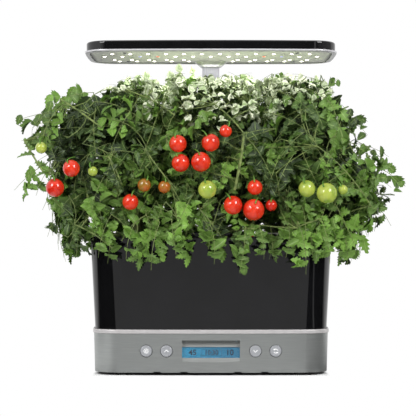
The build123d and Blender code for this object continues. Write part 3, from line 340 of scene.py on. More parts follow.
def grained(name, first, second, grain, roughness, bump, stretch=(1, 1, 1), **sockets):
    """A finish that wanders between two colours, with a grain of that many millimetres.

    The grain also varies the roughness between its two values and gives the bump.
    """
    material, tree, place = start_material(name)
    mapping = add_node(tree, "ShaderNodeMapping", {"Scale": stretch, "Vector": place})
    noise = add_node(tree, "ShaderNodeTexNoise", {"Scale": 1 / (grain * MM), "Detail": 3.0, "Vector": mapping})
    ramp = add_node(tree, "ShaderNodeValToRGB", {"Fac": noise})
    set_stops(ramp, (0.35, colour(first)), (0.65, colour(second)))
    smooth, rough = roughness
    spread = add_node(
        tree,
        "ShaderNodeMapRange",
        {"From Min": 0.3, "From Max": 0.7, "To Min": smooth, "To Max": rough, "Value": noise},
    )
    relief = add_node(tree, "ShaderNodeBump", {"Strength": bump, "Distance": 0.1 * MM, "Height": noise})
    add_shader(tree, base_color=ramp, roughness=spread, normal=relief, **sockets)
    return material


def brushed_steel():
    """Stainless skin of the base, brushed lengthways: fine level streaks, a broad soft shine."""
    streaks = (0.02, 0.02, 1)
    return grained("Brushed stainless steel", "#a5a8a7", "#afb2b0", 0.5, (0.36, 0.46), 0.08, streaks, metallic=0.9)


def bright_trim():
    """Plated ring: near mirror, with a faint haze."""
    return grained("Satin chrome", "#bbb8b8", "#c3c0c0", 6, (0.36, 0.42), 0.0, metallic=0.35)


def gloss_black():
    """Polished ABS moulding: deep black under a clear surface, with a slight flow ripple."""
    return grained("Polished black ABS", "#0a0a0b", "#0e0e10", 40, (0.05, 0.09), 0.02, ior=1.54)


def satin_black():
    """Fine-textured ABS, as the mould's spark finish leaves it."""
    return grained("Textured black ABS", "#121213", "#1a1a1c", 0.5, (0.38, 0.5), 0.15, ior=1.54)


def silver_lacquer():
    """Silver lacquer on the lamp's rim and neck: metal flakes under clear coat."""
    return grained("Silver lacquer", "#c4c3c6", "#cecdd0", 0.4, (0.3, 0.38), 0.03, metallic=0.35, coat_weight=0.2)


def rim_lacquer_with_painted_shade():
    """The rim's silver lacquer, with painted shade: dark grey on its underside, where it meets the reflector."""
    material = silver_lacquer()
    material.name = "Silver lacquer of the rim, painted shade underneath"
    tree = material.node_tree
    shader = next(node for node in tree.nodes if node.type == "BSDF_PRINCIPLED")
    lacquer = shader.inputs["Base Color"].links[0].from_socket
    place = add_node(tree, "ShaderNodeTexCoord")
    axes = add_node(tree, "ShaderNodeSeparateXYZ", {"Vector": place.outputs["Normal"]})
    # Painted shade: faces that look down are mixed to dark grey.
    under = add_node(tree, "ShaderNodeMapRange", {"From Min": -0.6, "From Max": -0.9, "Value": axes.outputs["Z"]})
    shaded = add_node(tree, "ShaderNodeMix", {0: under, 6: lacquer, 7: colour("#6e6e70")}, data_type="RGBA")
    tree.links.new(shaded.outputs[2], shader.inputs["Base Color"])
    return material


def anodised():
    """Anodised aluminium of the mast, drawn upwards, so its grain runs along it."""
    drawn = (1, 1, 0.02)
    return grained("Anodised aluminium", "#84838a", "#8f8e95", 0.4, (0.3, 0.38), 0.06, drawn, metallic=0.25)


def glowing(name, core, edge, strength):
    """A lit diode: its lens glows from a brighter die."""
    material, tree, _ = start_material(name)
    weight = add_node(tree, "ShaderNodeLayerWeight", {"Blend": 0.4})
    ramp = add_node(tree, "ShaderNodeValToRGB", {"Fac": weight.outputs["Facing"]})
    set_stops(ramp, (0.0, colour(core)), (1.0, colour(edge)))
    add_shader(tree, base_color=ramp, emission_color=ramp, emission_strength=strength, roughness=0.3, ior=1.5)
    return material


def clear_window():
    """Clear acrylic over the display: sharp reflections, no colour."""
    material, tree, place = start_material("Clear acrylic")
    noise = add_node(tree, "ShaderNodeTexNoise", {"Scale": 1 / (30 * MM), "Vector": place})
    relief = add_node(tree, "ShaderNodeBump", {"Strength": 0.02, "Distance": 0.1 * MM, "Height": noise})
    clear = colour("#f4f8fa")
    add_shader(tree, base_color=clear, transmission_weight=1.0, ior=1.49, roughness=0.02, normal=relief)
    return material


def lit_display():
    """Backlit display glass: blue, brighter at the left where its lamp sits, with fine cells."""
    low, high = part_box("lcd_panel")
    material, tree, place = start_material("Backlit display")
    axes = add_node(tree, "ShaderNodeSeparateXYZ", {"Vector": place})
    along = add_node(tree, "ShaderNodeMapRange", {"From Min": low.x, "From Max": high.x, "Value": axes.outputs["X"]})
    ramp = add_node(tree, "ShaderNodeValToRGB", {"Fac": along})
    set_stops(ramp, (0.0, colour("#1286ac")), (1.0, colour("#0c698c")))
    cells = add_node(tree, "ShaderNodeTexVoronoi", {"Scale": 1 / (0.6 * MM), "Vector": place})
    relief = add_node(tree, "ShaderNodeBump", {"Strength": 0.05, "Distance": 0.05 * MM, "Height": cells})
    glow = settings().display.backlight
    add_shader(
        tree, base_color=ramp, emission_color=ramp, emission_strength=glow, roughness=0.35, ior=1.5, normal=relief
    )
    return material


def reflector_with_painted_glow():
    """White powder-coated reflector with a faint orange-peel. The light of its diodes is painted on as emission,
    brightest in the middle, and shade is painted along the front, the sides and the rear edge.
    """
    low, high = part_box("led_board")
    material, tree, place = start_material("White powder coat, painted glow and shade")
    axes = add_node(tree, "ShaderNodeSeparateXYZ", {"Vector": place}).outputs
    aside = add_node(tree, "ShaderNodeMath", {0: axes["X"]}, operation="ABSOLUTE")
    # Painted glow: emission that fades from the middle to the sides.
    painted_glow_falloff = {"From Min": 0.0, "From Max": high.x, "To Min": 0.24, "To Max": 0.06, "Value": aside}
    lit = add_node(tree, "ShaderNodeMapRange", painted_glow_falloff)
    # Painted shade: darker within a few millimetres of the front and the sides, and towards the rear edge.
    side = add_node(tree, "ShaderNodeMath", {0: high.x, 1: aside}, operation="SUBTRACT")
    front = add_node(tree, "ShaderNodeMath", {0: axes["Y"], 1: low.y}, operation="SUBTRACT")
    nearest = add_node(tree, "ShaderNodeMath", {0: side, 1: front}, operation="MINIMUM")
    gap = add_node(
        tree, "ShaderNodeMapRange", {"From Min": 1.0 * MM, "From Max": 5.0 * MM, "To Min": 0.1, "Value": nearest}
    )
    near, far = high.y - 3 * MM, high.y - 17 * MM
    rear = add_node(tree, "ShaderNodeMapRange", {"From Min": near, "From Max": far, "To Min": 0.15, "Value": axes["Y"]})
    painted_shade_mask = add_node(tree, "ShaderNodeMath", {0: gap, 1: rear}, operation="MULTIPLY")
    peel = add_node(tree, "ShaderNodeTexNoise", {"Scale": 1 / (1.5 * MM), "Vector": place})
    ramp = add_node(tree, "ShaderNodeValToRGB", {"Fac": peel})
    set_stops(ramp, (0.0, colour("#b6b4b2")), (1.0, colour("#c4c2c0")))
    relief = add_node(tree, "ShaderNodeBump", {"Strength": 0.2, "Distance": 0.1 * MM, "Height": peel})
    # Where the shade is painted, the coat is mixed to dark grey and its painted glow fades.
    shaded = add_node(tree, "ShaderNodeMix", {0: painted_shade_mask, 6: colour("#3b3b3d"), 7: ramp}, data_type="RGBA")
    coat = shaded.outputs[2]
    glow = add_node(tree, "ShaderNodeMath", {0: lit, 1: painted_shade_mask}, operation="MULTIPLY")
    add_shader(
        tree, base_color=coat, emission_color=coat, emission_strength=glow, roughness=0.5, ior=1.5, normal=relief
    )
    return material


def leaf_skin():
    """Tomato leaf: matt green with a pale midrib and side veins; the youngest, by the lamp, are pale, partly by their
    own colour and partly by painted glare of the lamp.
    """
    plants = settings().plants
    material, tree, place = start_material("Tomato leaf")
    across_and_along = add_node(tree, "ShaderNodeUVMap", uv_map="UVMap")
    axes = add_node(tree, "ShaderNodeSeparateXYZ", {"Vector": across_and_along}).outputs
    offset = add_node(tree, "ShaderNodeMath", {0: axes["X"], 1: 0.5}, operation="SUBTRACT")
    aside = add_node(tree, "ShaderNodeMath", {0: offset}, operation="ABSOLUTE")
    midrib = add_node(
        tree, "ShaderNodeMapRange", {"From Min": 0.05, "From Max": 0.015, "To Max": 0.55, "Value": aside}
    )
    slant = add_node(tree, "ShaderNodeMath", {0: aside, 1: -1.1, 2: axes["Y"]}, operation="MULTIPLY_ADD")
    pitch = add_node(tree, "ShaderNodeMath", {0: slant, 1: 44.0}, operation="MULTIPLY")
    wave = add_node(tree, "ShaderNodeMath", {0: pitch}, operation="SINE")
    vein = add_node(tree, "ShaderNodeMapRange", {"From Min": 0.75, "From Max": 1.0, "To Max": 0.22, "Value": wave})
    veins = add_node(tree, "ShaderNodeMath", {0: midrib, 1: vein}, operation="MAXIMUM")
    # The tone is each leaf's own darker or lighter green, and for the leaves deep in the crown also painted shade.
    tone_and_painted_shade = add_node(tree, "ShaderNodeAttribute", attribute_name="leaf_tone_and_painted_shade").outputs["Fac"]
    mottle = add_node(tree, "ShaderNodeTexNoise", {"Scale": 1 / (9 * MM), "Detail": 2.0, "Vector": place})
    mottled_tone_and_painted_shade = add_node(tree, "ShaderNodeMath", {0: mottle, 1: 0.5, 2: tone_and_painted_shade}, operation="MULTIPLY_ADD")
    shade = add_node(tree, "ShaderNodeMath", {0: mottled_tone_and_painted_shade, 1: 0.25}, operation="SUBTRACT")
    # Paleness: the young leaves' own colour and painted glare of the lamp, stronger towards a leaflet's edges.
    youth_and_painted_glare = add_node(tree, "ShaderNodeAttribute", attribute_name="leaf_youth_and_painted_glare").outputs["Fac"]
    edge = add_node(tree, "ShaderNodeMapRange", {"From Min": 0.0, "From Max": 0.3, "To Min": 0.35, "Value": aside})
    pale_share_with_painted_glare = add_node(tree, "ShaderNodeMath", {0: youth_and_painted_glare, 1: edge}, operation="MULTIPLY")
    skin = tuple(plants.dark)
    for share, tint in ((shade, plants.light), (pale_share_with_painted_glare, plants.pale), (veins, colour("#a3bb72"))):
        skin = add_node(tree, "ShaderNodeMix", {0: share, 6: skin, 7: tuple(tint)}, data_type="RGBA").outputs[2]
    relief = add_node(tree, "ShaderNodeBump", {"Strength": 0.25, "Distance": 0.4 * MM, "Height": veins})
    add_shader(tree, base_color=skin, roughness=0.5, ior=1.42, normal=relief)
    return material


def tomato_skin(name, ripe, shoulder):
    """Tomato skin: waxy and glossy, with blotches of a greener or darker shoulder colour, and tiny flecks."""
    material, tree, place = start_material(name)
    blotch = add_node(tree, "ShaderNodeTexNoise", {"Scale": 1 / (14 * MM), "Detail": 2.0, "Vector": place})
    ramp = add_node(tree, "ShaderNodeValToRGB", {"Fac": blotch})
    set_stops(ramp, (0.3, colour(shoulder)), (0.55, colour(ripe)))
    fleck = add_node(tree, "ShaderNodeTexNoise", {"Scale": 1 / (1.2 * MM), "Vector": place})
    relief = add_node(tree, "ShaderNodeBump", {"Strength": 0.04, "Distance": 0.1 * MM, "Height": fleck})
    add_shader(tree, base_color=ramp, roughness=0.16, ior=1.45, coat_weight=0.5, normal=relief)
    return material


def plant_stem():
    """Tomato stem: yellow-green, finely haired, so it shines little."""
    return grained("Tomato stem", "#4b5c2c", "#7c8b4e", 6, (0.55, 0.7), 0.2, ior=1.42)


# ------------------------------------------------------------------- base, bowl
class GARDEN_OT_finish_base(bpy.types.Operator):
    """Give the base, its trim ring, feet, screws and inner parts their finishes"""

    bl_idname = "garden.finish_base"
    bl_label = "Finish base"

    def execute(self, context):
        dress(brushed_steel(), "base_housing")
        dress(bright_trim(), "trim_ring")
        dress(satin_black(), "bottom_cover", "bowl_seat", "mast_bush", "mast_glide", "power_jack", "button_switches")
        rubber = grained("Moulded rubber", "#151515", "#202020", 1.5, (0.7, 0.85), 0.2, ior=1.52)
        dress(rubber, "rubber_feet")
        zinc = grained("Zinc-plated steel", "#9c9da0", "#b4b5b6", 0.8, (0.25, 0.4), 0.05, metallic=1.0)
        dress(zinc, "base_screws", "lamp_screws", "hinge_pin")
        # Glass-fibre board under green solder lacquer.
        board = grained("Circuit board", "#12402a", "#1b5236", 2, (0.25, 0.4), 0.1, ior=1.55)
        dress(board, "control_board")
        # Coil potted in black resin.
        dress(grained("Potting resin", "#161617", "#222223", 3, (0.3, 0.5), 0.1, ior=1.55), "pump_motor")
        dress(clear_window(), "lcd_window")
        dress(lit_display(), "lcd_panel")
        # Satin lacquer on the round keys.
        keys = grained("Satin silver key", "#aeb0b5", "#bcbec2", 0.5, (0.35, 0.45), 0.05, metallic=0.6)
        dress(keys, *BUTTONS)
        return {"FINISHED"}


class GARDEN_OT_finish_bowl(bpy.types.Operator):
    """Give the bowl, deck, pods, pump and float their finishes"""

    bl_idname = "garden.finish_bowl"
    bl_label = "Finish bowl"

    def execute(self, context):
        dress(gloss_black(), "grow_bowl")
        deck = grained("Semi-gloss black ABS", "#0f0f10", "#151517", 0.6, (0.2, 0.3), 0.08, ior=1.54)
        dress(deck, "grow_deck", "fill_lid")
        white_basket = grained("White polypropylene", "#bdbdb8", "#cbcbc6", 2, (0.4, 0.5), 0.08, ior=1.49)
        dress(white_basket, *[f"pod_basket_{number}" for number in PLANTS])
        # Pressed peat: coarse dark fibres.
        peat = grained("Pressed peat", "#2a1c12", "#4a3524", 1.2, (0.85, 0.95), 0.8, ior=1.4)
        dress(peat, *[f"grow_sponge_{number}" for number in PLANTS])
        pump = grained("Pump polypropylene", "#242426", "#303032", 0.6, (0.4, 0.5), 0.1, ior=1.49)
        dress(pump, "pump_housing", "impeller")
        dress(grained("Ground ceramic", "#dedcd6", "#ebe9e4", 1, (0.2, 0.3), 0.05, ior=1.6), "pump_shaft")
        # Open-cell filter foam.
        dress(grained("Filter foam", "#141414", "#2c2c2c", 0.9, (0.9, 1.0), 1.0, ior=1.4), "pump_filter")
        dress(grained("Red polypropylene", "#b33a1c", "#c2441f", 1, (0.3, 0.4), 0.05, ior=1.49), "water_float")
        return {"FINISHED"}


# ------------------------------------------------------------------------ lamp
class GARDEN_OT_finish_lamp(bpy.types.Operator):
    """Give the mast and the lamp their finishes, and light the plants from the hood"""

    bl_idname = "garden.finish_lamp"
    bl_label = "Finish lamp"

    def execute(self, context):
        dress(anodised(), "mast_sleeve", "mast_post")
        dress(gloss_black(), "lamp_hood")
        dress(silver_lacquer(), "lamp_socket")
        dress(rim_lacquer_with_painted_shade(), "lamp_rim")
        dress(reflector_with_painted_glow(), "led_board")
        low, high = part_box("led_board")
        below = Vector(((low.x + high.x) / 2, (low.y + high.y) / 2, low.z - 4 * MM))
        light = added(bpy.ops.object.light_add, type="AREA", location=below)
        light.name = "light_of_the_diodes"
        light.data.shape = "RECTANGLE"
        light.data.size = 0.9 * (high.x - low.x)
        light.data.size_y = 0.8 * (high.y - low.y)
        light.data.energy = settings().lamp.light_power
        light.visible_camera = False
        light.visible_glossy = False
        light.parent = frame["bodies"]["lamp"]
        return {"FINISHED"}


def loose_parts(node):
    """The (centre, half size) of each separate solid in a CAD node."""
    mesh = bmesh.new()
    mesh.from_mesh(frame["nodes"][node].data)
    bmesh.ops.remove_doubles(mesh, verts=mesh.verts, dist=0.01 * MM)
    left = set(mesh.verts)
    found = []
    while left:
        edge = [left.pop()]
        part = list(edge)
        while edge:
            vertex = edge.pop()
            for link in vertex.link_edges:
                other = link.other_vert(vertex)
                if other in left:
                    left.remove(other)
                    edge.append(other)
                    part.append(other)
        low = Vector([min(v.co[axis] for v in part) for axis in range(3)])
        high = Vector([max(v.co[axis] for v in part) for axis in range(3)])
        found.append(((low + high) / 2, (high - low) / 2))
    mesh.free()
    return sorted(found, key=lambda part: tuple(part[0]))


def make_diode(size, height, ceramic, lens):
    """One diode, facing down: a square package with a domed lens, its top face at the origin."""
    package = added(bpy.ops.mesh.primitive_cube_add, size=1, location=(0, 0, -0.3 * height))
    package.scale = (size, size, 0.6 * height)
    bpy.ops.object.transform_apply(location=True, rotation=True, scale=True)
    apply_modifier(package, "BEVEL", width=0.08 * size, segments=1)
    package.data.materials.append(ceramic)
    radius = 0.42 * size
    dome = added(bpy.ops.mesh.primitive_uv_sphere_add, segments=12, ring_count=8, radius=radius, location=(0, 0, 0))
    bpy.ops.object.mode_set(mode="EDIT")
    pick(lambda place: place.z > 0.01 * size)
    bpy.ops.mesh.delete(type="VERT")
    bpy.ops.object.mode_set(mode="OBJECT")
    dome.scale = (1, 1, 0.4 * height / radius)
    dome.location = (0, 0, -0.6 * height)
    bpy.ops.object.transform_apply(location=True, rotation=True, scale=True)
    bpy.ops.object.shade_smooth()
    dome.data.materials.append(lens)
    return join([package, dome], "diode")


class GARDEN_OT_light_diodes(bpy.types.Operator):
    """Build the lit diodes of the lamp, a package with a domed lens in each place"""

    bl_idname = "garden.light_diodes"
    bl_label = "Light diodes"

    def execute(self, context):
        glow = settings().lamp.diode_glow
        ceramic = grained("Diode ceramic", "#e2e2da", "#f0f0ea", 1, (0.4, 0.5), 0.1, ior=1.6)
        lenses = {
            "white": glowing("White diode lens", "#fffdf2", "#f3efd8", glow),
            "red": glowing("Red diode lens", "#ff6a3c", "#f0481c", 0.14 * glow),
            "blue": glowing("Blue diode lens", "#b9b2ff", "#7a74f0", 0.14 * glow),
        }
        for hue, lens in lenses.items():
            places = loose_parts(f"leds_{hue}")
            half = places[0][1]
            diode = make_diode(2 * half.x, 2 * half.z, ceramic, lens)
            tops = [centre + Vector((0, 0, half.z)) for centre, _ in places]
            row = [copy_at(diode, Matrix.Translation(top)) for top in tops]
            bpy.data.objects.remove(diode)
            settle(join(row, f"diodes_{hue}"), "lamp", f"led_{hue}", f"leds_{hue}")
        return {"FINISHED"}


class GARDEN_OT_screw_drives(bpy.types.Operator):
    """Paint the shade of the cross recess in the head of each screw, as a thin dark cross"""

    bl_idname = "garden.screw_drives"
    bl_label = "Screw drives"

    def execute(self, context):
        # Painted shade: a flat dark cross stands for the shade inside each screw's recess.
        recess = grained("Painted shade of a screw recess", "#17171a", "#232326", 0.5, (0.6, 0.8), 0.1, ior=1.5)
        for node, body in (("base_screws", "base"), ("lamp_screws", "lamp")):
            painted_shade_blades = []
            for centre, half in loose_parts(node):
                reach = 0.6 * min(half.x, half.y)
                for turn in (45, 135):
                    painted_shade_blade = added(
                        bpy.ops.mesh.primitive_cube_add,
                        size=1,
                        location=(centre.x, centre.y, centre.z - half.z),
                        rotation=(0, 0, math.radians(turn)),
                    )
                    painted_shade_blade.scale = (2 * reach, 0.35 * reach, 0.06 * MM)
                    painted_shade_blade.data.materials.append(recess)
                    painted_shade_blades.append(painted_shade_blade)
            settle(join(painted_shade_blades, f"{node}_drives"), body, "steel")
        return {"FINISHED"}


# ------------------------------------------------------------ display and keys
BUTTONS = ("button_light", "button_up", "button_down", "button_select")


def front_plane(node, direction):
    """The middle and normal of the node's faces that look in a direction."""
    mesh = frame["nodes"][node].data
    faces = [face for face in mesh.polygons if face.normal.dot(direction) > 0.9]
    if not faces:
        raise RuntimeError(f"{node} has no face that looks that way")
    farthest = max(face.center.dot(direction) for face in faces)
    faces = [face for face in faces if face.center.dot(direction) > farthest - 3 * MM]
    area = sum(face.area for face in faces)
    middle = sum((face.center * face.area for face in faces), Vector()) / area
    normal = sum((face.normal * face.area for face in faces), Vector()).normalized()
    return middle, normal


class GARDEN_OT_display_figures(bpy.types.Operator):
    """Set the figures and the clock's frame on the display"""

    bl_idname = "garden.display_figures"
    bl_label = "Display figures"

    def execute(self, context):
        display = settings().display
        ink = grained("Display segments", "#0a2036", "#0e2842", 1, (0.4, 0.5), 0.0, ior=1.5)
        low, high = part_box("lcd_window")
        middle, normal = front_plane("lcd_panel", TO_FRONT)
        right = Vector((1, 0, 0))
        tall = normal.cross(right)
        window = (low + high) / 2
        centre = window + normal * (middle - window).dot(normal) + normal * 0.08 * MM
        place = Matrix.Translation(centre) @ Matrix((right, tall, normal)).transposed().to_4x4()
        pieces = []
        height = display.figure_height
        groups = ((display.water_days, -20.5, 1.0), (display.clock, 0.5, 0.8), (display.food_days, 21, 1.0))
        for text, offset, share in groups:
            figure = added(bpy.ops.object.text_add, location=(0, 0, 0))
            figure.data.body = text
            figure.data.size = 1.4 * height * share
            figure.data.align_x = "CENTER"
            figure.data.align_y = "CENTER"
            figure.data.extrude = 0.05 * MM
            figure.data.offset = 0.2 * MM
            figure.data.materials.append(ink)
            bpy.ops.object.convert(target="MESH")
            figure = context.object
            figure.data.transform(place @ Matrix.Translation((offset * MM, 0, 0)))
            pieces.append(figure)
        half_width = 11.5 * MM
        half_height = 0.55 * height
        corners = [(-1, -1), (1, -1), (1, 1), (-1, 1), (-1, -1)]
        frame_line = [
            (place @ Vector((0.5 * MM + x * half_width, y * half_height, 0)), 0.16 * MM) for x, y in corners
        ]
        pieces.append(tube("clock_frame", [frame_line], ink))
        settle(join(pieces, "display_figures"), "base", "display")
        return {"FINISHED"}


def arc(radius, start, end, steps):
    """Points of an arc in the plane of a key's face, angles in degrees."""
    angles = [math.radians(start + (end - start) * step / steps) for step in range(steps + 1)]
    return [(radius * math.cos(angle), radius * math.sin(angle)) for angle in angles]


def key_strokes(name):
    """The strokes of a key's sign, in millimetres across and up from its middle."""
    if name == "button_up":
        return [[(-2.2, -1.0), (0, 1.2), (2.2, -1.0)]]
    if name == "button_down":
        return [[(-2.2, 1.0), (0, -1.2), (2.2, 1.0)]]
    if name == "button_light":
        rays = []
        for turn in range(8):
            angle = math.tau * turn / 8
            rays.append([(r * math.cos(angle), r * math.sin(angle)) for r in (2.1, 3.2)])
        return [arc(1.3, 0, 360, 16)] + rays
    arrows = []
    for start in (20, 200):
        arrows.append(arc(2.2, start, start + 130, 8))
        tip_angle = math.radians(start + 130)
        tip = Vector((2.2 * math.cos(tip_angle), 2.2 * math.sin(tip_angle)))
        back = Vector((math.sin(tip_angle), -math.cos(tip_angle)))
        aside = Vector((math.cos(tip_angle), math.sin(tip_angle)))
        arrows.append([tuple(tip + back + aside * 0.9), tuple(tip), tuple(tip + back - aside * 0.9)])
    return arrows


class GARDEN_OT_button_icons(bpy.types.Operator):
    """Print the signs on the four round keys"""

    bl_idname = "garden.button_icons"
    bl_label = "Button signs"

    def execute(self, context):
        print_white = grained("White pad print", "#eeeeee", "#fafafa", 0.6, (0.4, 0.5), 0.05, ior=1.5)
        for name in BUTTONS:
            middle, _ = front_plane(name, TO_FRONT)
            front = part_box(name)[0].y
            lines = [
                [(Vector((middle.x + x * MM, front, middle.z + z * MM)), 0.5 * MM) for x, z in stroke]
                for stroke in key_strokes(name)
            ]
            settle(tube(f"{name}_sign", lines, print_white), name, "button_silver")
        return {"FINISHED"}


# ---------------------------------------------------------------------- leaves
# Half widths of a leaflet from its base to its tip, as shares of its length. The
# wider rows are the teeth of its edge.
LEAFLET_OUTLINES = {
    "broad": (0.02, 0.16, 0.16, 0.26, 0.21, 0.27, 0.18, 0.20, 0.11, 0.09, 0.0),
    "narrow": (0.02, 0.11, 0.10, 0.18, 0.14, 0.18, 0.12, 0.13, 0.07, 0.06, 0.0),
    "cut": (0.02, 0.14, 0.09, 0.25, 0.13, 0.24, 0.11, 0.17, 0.07, 0.07, 0.0),
    "round": (0.02, 0.18, 0.25, 0.30, 0.30, 0.31, 0.26, 0.23, 0.15, 0.09, 0.0),
}
LEAFLET_TOOTH = 0.05


def make_leaflet(kind, fold, arch):
    """One toothed leaflet 1 long, upright, its upper side to the front, its tip arched back in degrees."""
    outline = LEAFLET_OUTLINES[kind]
    rows = len(outline) - 1
    grid = {"x_subdivisions": 2, "y_subdivisions": rows}
    leaflet = added(bpy.ops.mesh.primitive_grid_add, size=1, location=(0, 0.5, 0), **grid)
    leaflet.name = f"leaflet_{kind}"
    bpy.ops.object.mode_set(mode="EDIT")
    for row, half_width in enumerate(outline):
        along = row / rows
        pick(lambda place: abs(place.y + 0.5 - along) < 0.2 / rows)
        bpy.ops.transform.resize(value=(2 * max(half_width, 0.001), 1, 1), center_override=(0, along, 0))
        pick(lambda place: abs(place.y + 0.5 - along) < 0.2 / rows and abs(place.x) > 0.1 * half_width + 1e-5)
        forward = LEAFLET_TOOTH if row % 2 else -0.4 * LEAFLET_TOOTH
        if 0 < row < rows:
            bpy.ops.transform.translate(value=(0, forward, fold * half_width))
    bpy.ops.mesh.select_all(action="SELECT")
    bpy.ops.mesh.remove_doubles(threshold=0.003)
    bpy.ops.object.mode_set(mode="OBJECT")
    leaflet.rotation_euler.x = math.radians(90)
    bpy.ops.object.transform_apply(location=True, rotation=True, scale=True)
    bend(leaflet, arch)
    bpy.ops.object.shade_smooth()
    return leaflet


def make_leaf(name, kind, pairs, leaflet_length, droop, draw, leaf_material, stem_material):
    """A compound leaf 1 long on its stalk: pairs of leaflets and one at the end, then all bent over."""
    leaflets = [make_leaflet(kind, fold, arch) for fold, arch in ((0.25, 30), (0.5, 65), (0.8, 15))]
    for leaflet in leaflets:
        leaflet.data.materials.append(leaf_material)
    stalk_length = 1 - leaflet_length
    pieces = []

    def attach(along, turn, length):
        source = draw.choice(leaflets)
        curl = draw.uniform(-20, 40)
        twist = draw.uniform(-45, 45)
        matrix = (
            Matrix.Translation((0, 0, along))
            @ Matrix.Rotation(math.radians(turn), 4, "Y")
            @ Matrix.Rotation(math.radians(twist), 4, "Z")
            @ Matrix.Rotation(math.radians(-curl), 4, "X")
            @ Matrix.Scale(length, 4)
        )
        pieces.append(copy_at(source, matrix))

    attach(stalk_length, draw.uniform(-8, 8), leaflet_length)
    for pair in range(pairs):
        along = stalk_length * (0.22 + 0.66 * pair / max(pairs - 1, 1))
        length = leaflet_length * (0.60 + 0.34 * math.sin(math.pi * (pair + 1) / (pairs + 0.5)))
        for side in (-1, 1):
            shift = draw.uniform(-0.03, 0.03)
            attach(along + shift, side * draw.uniform(48, 72), length * draw.uniform(0.85, 1.1))
    steps = 5
    points = [
        (Vector((0, 0, stalk_length * step / steps)), 0.0055 - 0.003 * step / steps) for step in range(steps + 1)
    ]
    pieces.append(tube("stalk", [points], stem_material))
    for leaflet in leaflets:
        bpy.data.objects.remove(leaflet)
    leaf = join(pieces, name)
    bend(leaf, droop)
    leaf.data.transform(Matrix.Rotation(math.radians(droop / 2), 4, "X"))
    select_only(leaf)
    bpy.ops.object.shade_smooth()
    return leaf


def leaf_templates(draw, leaf_material, stem_material):
    """The few forms of leaf that the plants are grown from, by the part of the plant they suit."""
    forms = {"grown": [], "drooping": [], "young": []}
    recipes = (
        ("grown", "broad", 4, 0.32, 60),
        ("grown", "cut", 3, 0.38, 45),
        ("grown", "narrow", 4, 0.32, 80),
        ("grown", "broad", 3, 0.38, 95),
        ("drooping", "cut", 4, 0.34, 55),
        ("drooping", "narrow", 4, 0.34, 40),
        ("drooping", "broad", 3, 0.38, 75),
        ("young", "round", 2, 0.44, 50),
        ("young", "round", 3, 0.38, 35),
        ("young", "narrow", 2, 0.46, 70),
    )
    for number, (place, kind, pairs, leaflet_length, droop) in enumerate(recipes):
        name = f"leaf_form_{number}"
        forms[place].append(
            make_leaf(name, kind, pairs, leaflet_length, droop, draw, leaf_material, stem_material)
        )
    return forms


def leaf_matrix(base, chord, face, length):
    """Places a leaf form: its base, the way it points, the way its upper side looks, and its length."""
    z_axis = chord.normalized()
    y_axis = -(face - face.dot(z_axis) * z_axis).normalized()
    x_axis = y_axis.cross(z_axis)
    turned = Matrix((x_axis, y_axis, z_axis)).transposed().to_4x4()
    return Matrix.Translation(base) @ turned @ Matrix.Scale(length, 4)


def triangles_of(*names):
    """The vertices and triangles of several CAD nodes, as one set."""
    points = []
    faces = []
    for name in names:
        mesh = frame["nodes"][name].data
        first = len(points)
        points.extend(vertex.co.copy() for vertex in mesh.vertices)
        faces.extend(tuple(first + index for index in face.vertices) for face in mesh.polygons)
    return points, faces


# The plants' outline from the front: a level, then how far the leaves come out to the
# left and to the right there, in millimetres.
OUTLINE = (
    (110, -132, 140),
    (127, -146, 158),
    (150, -174, 172),
    (178, -184, 194),
    (200, -182, 209),
    (225, -178, 206),
    (240, -186, 180),
    (259, -210, 160),
    (286, -210, 166),
    (305, -168, 150),
    (322, -122, 141),
    (333, -106, 133),
    (345, -60, 110),
)


def outline_at(level):
    """How far out the leaves come at a level, to the left and to the right."""
    for (low, *near), (high, *far) in zip(OUTLINE, OUTLINE[1:]):
        if level <= high * MM:
            break
    share = max(0.0, min(1.0, (level / MM - low) / (high - low)))
    return [(a + (b - a) * share) * MM for a, b in zip(near, far)]


